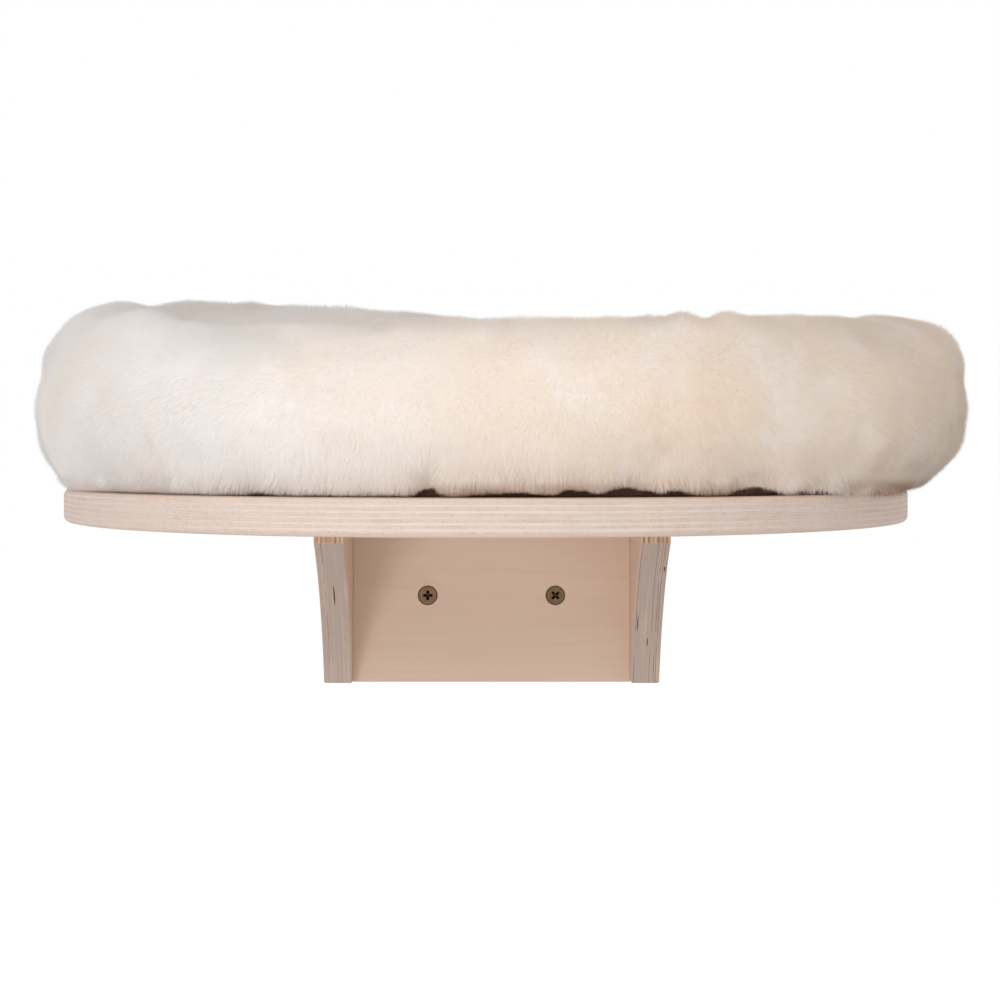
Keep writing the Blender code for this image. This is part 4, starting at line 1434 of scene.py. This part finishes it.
def loops(name, low, high, top):
    """Short fuzz that stands out of the tape downwards and to all sides."""
    dice = np.random.default_rng(8)
    root = np.stack([low.x + LOOP_MARGIN + dice.random(LOOP_SPIKES) * (high.x - low.x - 2 * LOOP_MARGIN),
                     low.y + LOOP_MARGIN + dice.random(LOOP_SPIKES) * (high.y - low.y - 2 * LOOP_MARGIN),
                     np.full(LOOP_SPIKES, top)], axis=1)
    down = np.tile(np.array([0, 0, -1.0]), (LOOP_SPIKES, 1))
    way = unit(down * 0.6 + dice.normal(0, 0.6, root.shape) * np.array([1, 1, 0]))
    length, width = np.full(LOOP_SPIKES, LOOP_LENGTH), np.full(LOOP_SPIKES, LOOP_WIDTH)
    return linked(name, spike_mesh(name, root, down, way, length, width), grip_brown)


for side in ("left", "right"):
    low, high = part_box(f"hook_strip_{side}")
    tape = backing(f"hook_tape_{side}", low, high, low.z, "shelf")
    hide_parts(f"hook_strip_{side}")
    grip = hooks(f"hooks_{side}", low, high, low.z + STRIP_BACKING, high.z)
    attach(grip, "shelf")
    low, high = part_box(f"loop_strip_{side}")
    under = high.z - STRIP_BACKING
    tape = backing(f"loop_tape_{side}", low, high, under, "bed")
    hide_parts(f"loop_strip_{side}")
    fuzz = loops(f"loops_{side}", low, high, under)
    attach(fuzz, "bed")
print("hook and loop strips on both sides")

# %% [markdown]
# ## Beech dowels
#
# Fluted beech dowels join the plate to the sides, sealed in their holes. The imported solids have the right
# shape, so they only get a wood finish: straight grain along X with the fine dark flecks of beech.

# %% The dowels


def beech(name):
    finish = Finish(name, Roughness=0.6)
    spot = finish.place()
    grain = finish.noise(spot, (30, 900, 900), 3.0)
    fleck = finish.noise(spot, (200, 2500, 2500), 1.0)
    colour = finish.mix(grain.ramp(0.3, 0.7), srgb(226, 190, 150), srgb(204, 162, 122))
    colour = finish.mix(fleck.ramp(0.62, 0.75) * 0.6, colour, srgb(140, 96, 66))
    finish.bump(grain, 0.0001, 0.5)
    return finish.show(Base_Color=colour)


beech_finish = beech("raw_beech")
dowels = [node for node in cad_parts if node.startswith("dowel")]
for node in dowels:
    bpy.data.objects[node].data.materials.clear()
    bpy.data.objects[node].data.materials.append(beech_finish)
print("dowels:", len(dowels))

# %% [markdown]
# ## The stage
#
# The object hangs in front of plain white. A pale floor lies well below it and keeps its soft shadow. For
# the camera, and for what metal mirrors, the surroundings are plain white, while the light that reaches the
# object stays gentle: part of it comes evenly from all round, and the rest from four softboxes.

# %% Surroundings and floor
FLOOR_LEVEL = -0.34
FLOOR_SPAN = 14.0
FLOOR_GREY = (0.86, 0.86, 0.86, 1.0)
FLOOR_GLOW, GLOW_SHARE = 1.16, 0.8  # white glow for the camera alone, and its share in what it sees
AMBIENT = 0.44


def add_world():
    world = bpy.data.worlds.new("surroundings")
    bpy.context.scene.world = world
    world.use_nodes = True
    nodes = Nodes(world.node_tree)
    strength = nodes.node("MapRange", {}, {0: nodes.seen_directly(), "To Min": AMBIENT, "To Max": 1.0})
    background = world.node_tree.nodes["Background"]
    nodes.feed(background.inputs["Color"], (1, 1, 1, 1))
    nodes.feed(background.inputs["Strength"], strength)


def add_floor():
    mesh = bpy.data.meshes.new("floor")
    half = FLOOR_SPAN / 2
    corners = [(-half, -half), (half, -half), (half, half), (-half, half)]
    mesh.from_pydata([(x, y, FLOOR_LEVEL) for x, y in corners], [], [(0, 1, 2, 3)])
    finish = Finish("pale_floor", Base_Color=FLOOR_GREY, Roughness=0.9)
    glow = finish.node("Emission", {}, {"Strength": FLOOR_GLOW})
    matt = Value(finish, finish.shader.outputs[0])
    blend = finish.node("MixShader", {}, {0: finish.seen_directly() * GLOW_SHARE, 1: matt, 2: glow})
    finish.feed(finish.tree.nodes["Material Output"].inputs["Surface"], blend)
    linked("floor", mesh, finish.material)


add_world()
add_floor()
print("floor at", FLOOR_LEVEL, "m, ambient light", AMBIENT)

# %% [markdown]
# The lamps are large squares, as softboxes are, because only broad light gives the photograph's soft
# shadows. The key is in front and above on the left, a cool one and a warm one light the ends, and a low one
# reaches under the board. All of them look at the middle of the bed.

# %% The lamps
BED_AIM = Vector((0, -0.17, 0.08))
# spot, size, power and colour of each softbox
SOFTBOXES = {
    "key": ((-0.45, -1.90, 0.90), 0.8, 9.7, (1.0, 0.985, 0.965)),
    "left": ((-1.9, -0.9, 0.7), 1.0, 2.2, (0.82, 0.91, 1.0)),
    "right": ((1.6, -1.3, 0.9), 1.0, 6.0, (1.0, 0.97, 0.94)),
    "low": ((-0.90, -1.55, -0.12), 0.6, 5.6, (1.0, 0.99, 0.98)),
}
for name, (spot, side, power, colour) in SOFTBOXES.items():
    lamp = bpy.data.lights.new("softbox_" + name, "AREA")
    lamp.shape, lamp.size, lamp.energy, lamp.color = "SQUARE", side, power, colour
    box = linked("softbox_" + name, lamp)
    box.location = spot
    box.rotation_euler = (BED_AIM - Vector(spot)).to_track_quat("-Z", "Y").to_euler()
bpy.context.scene.view_settings.view_transform = "Standard"
print("softboxes:", len(SOFTBOXES))
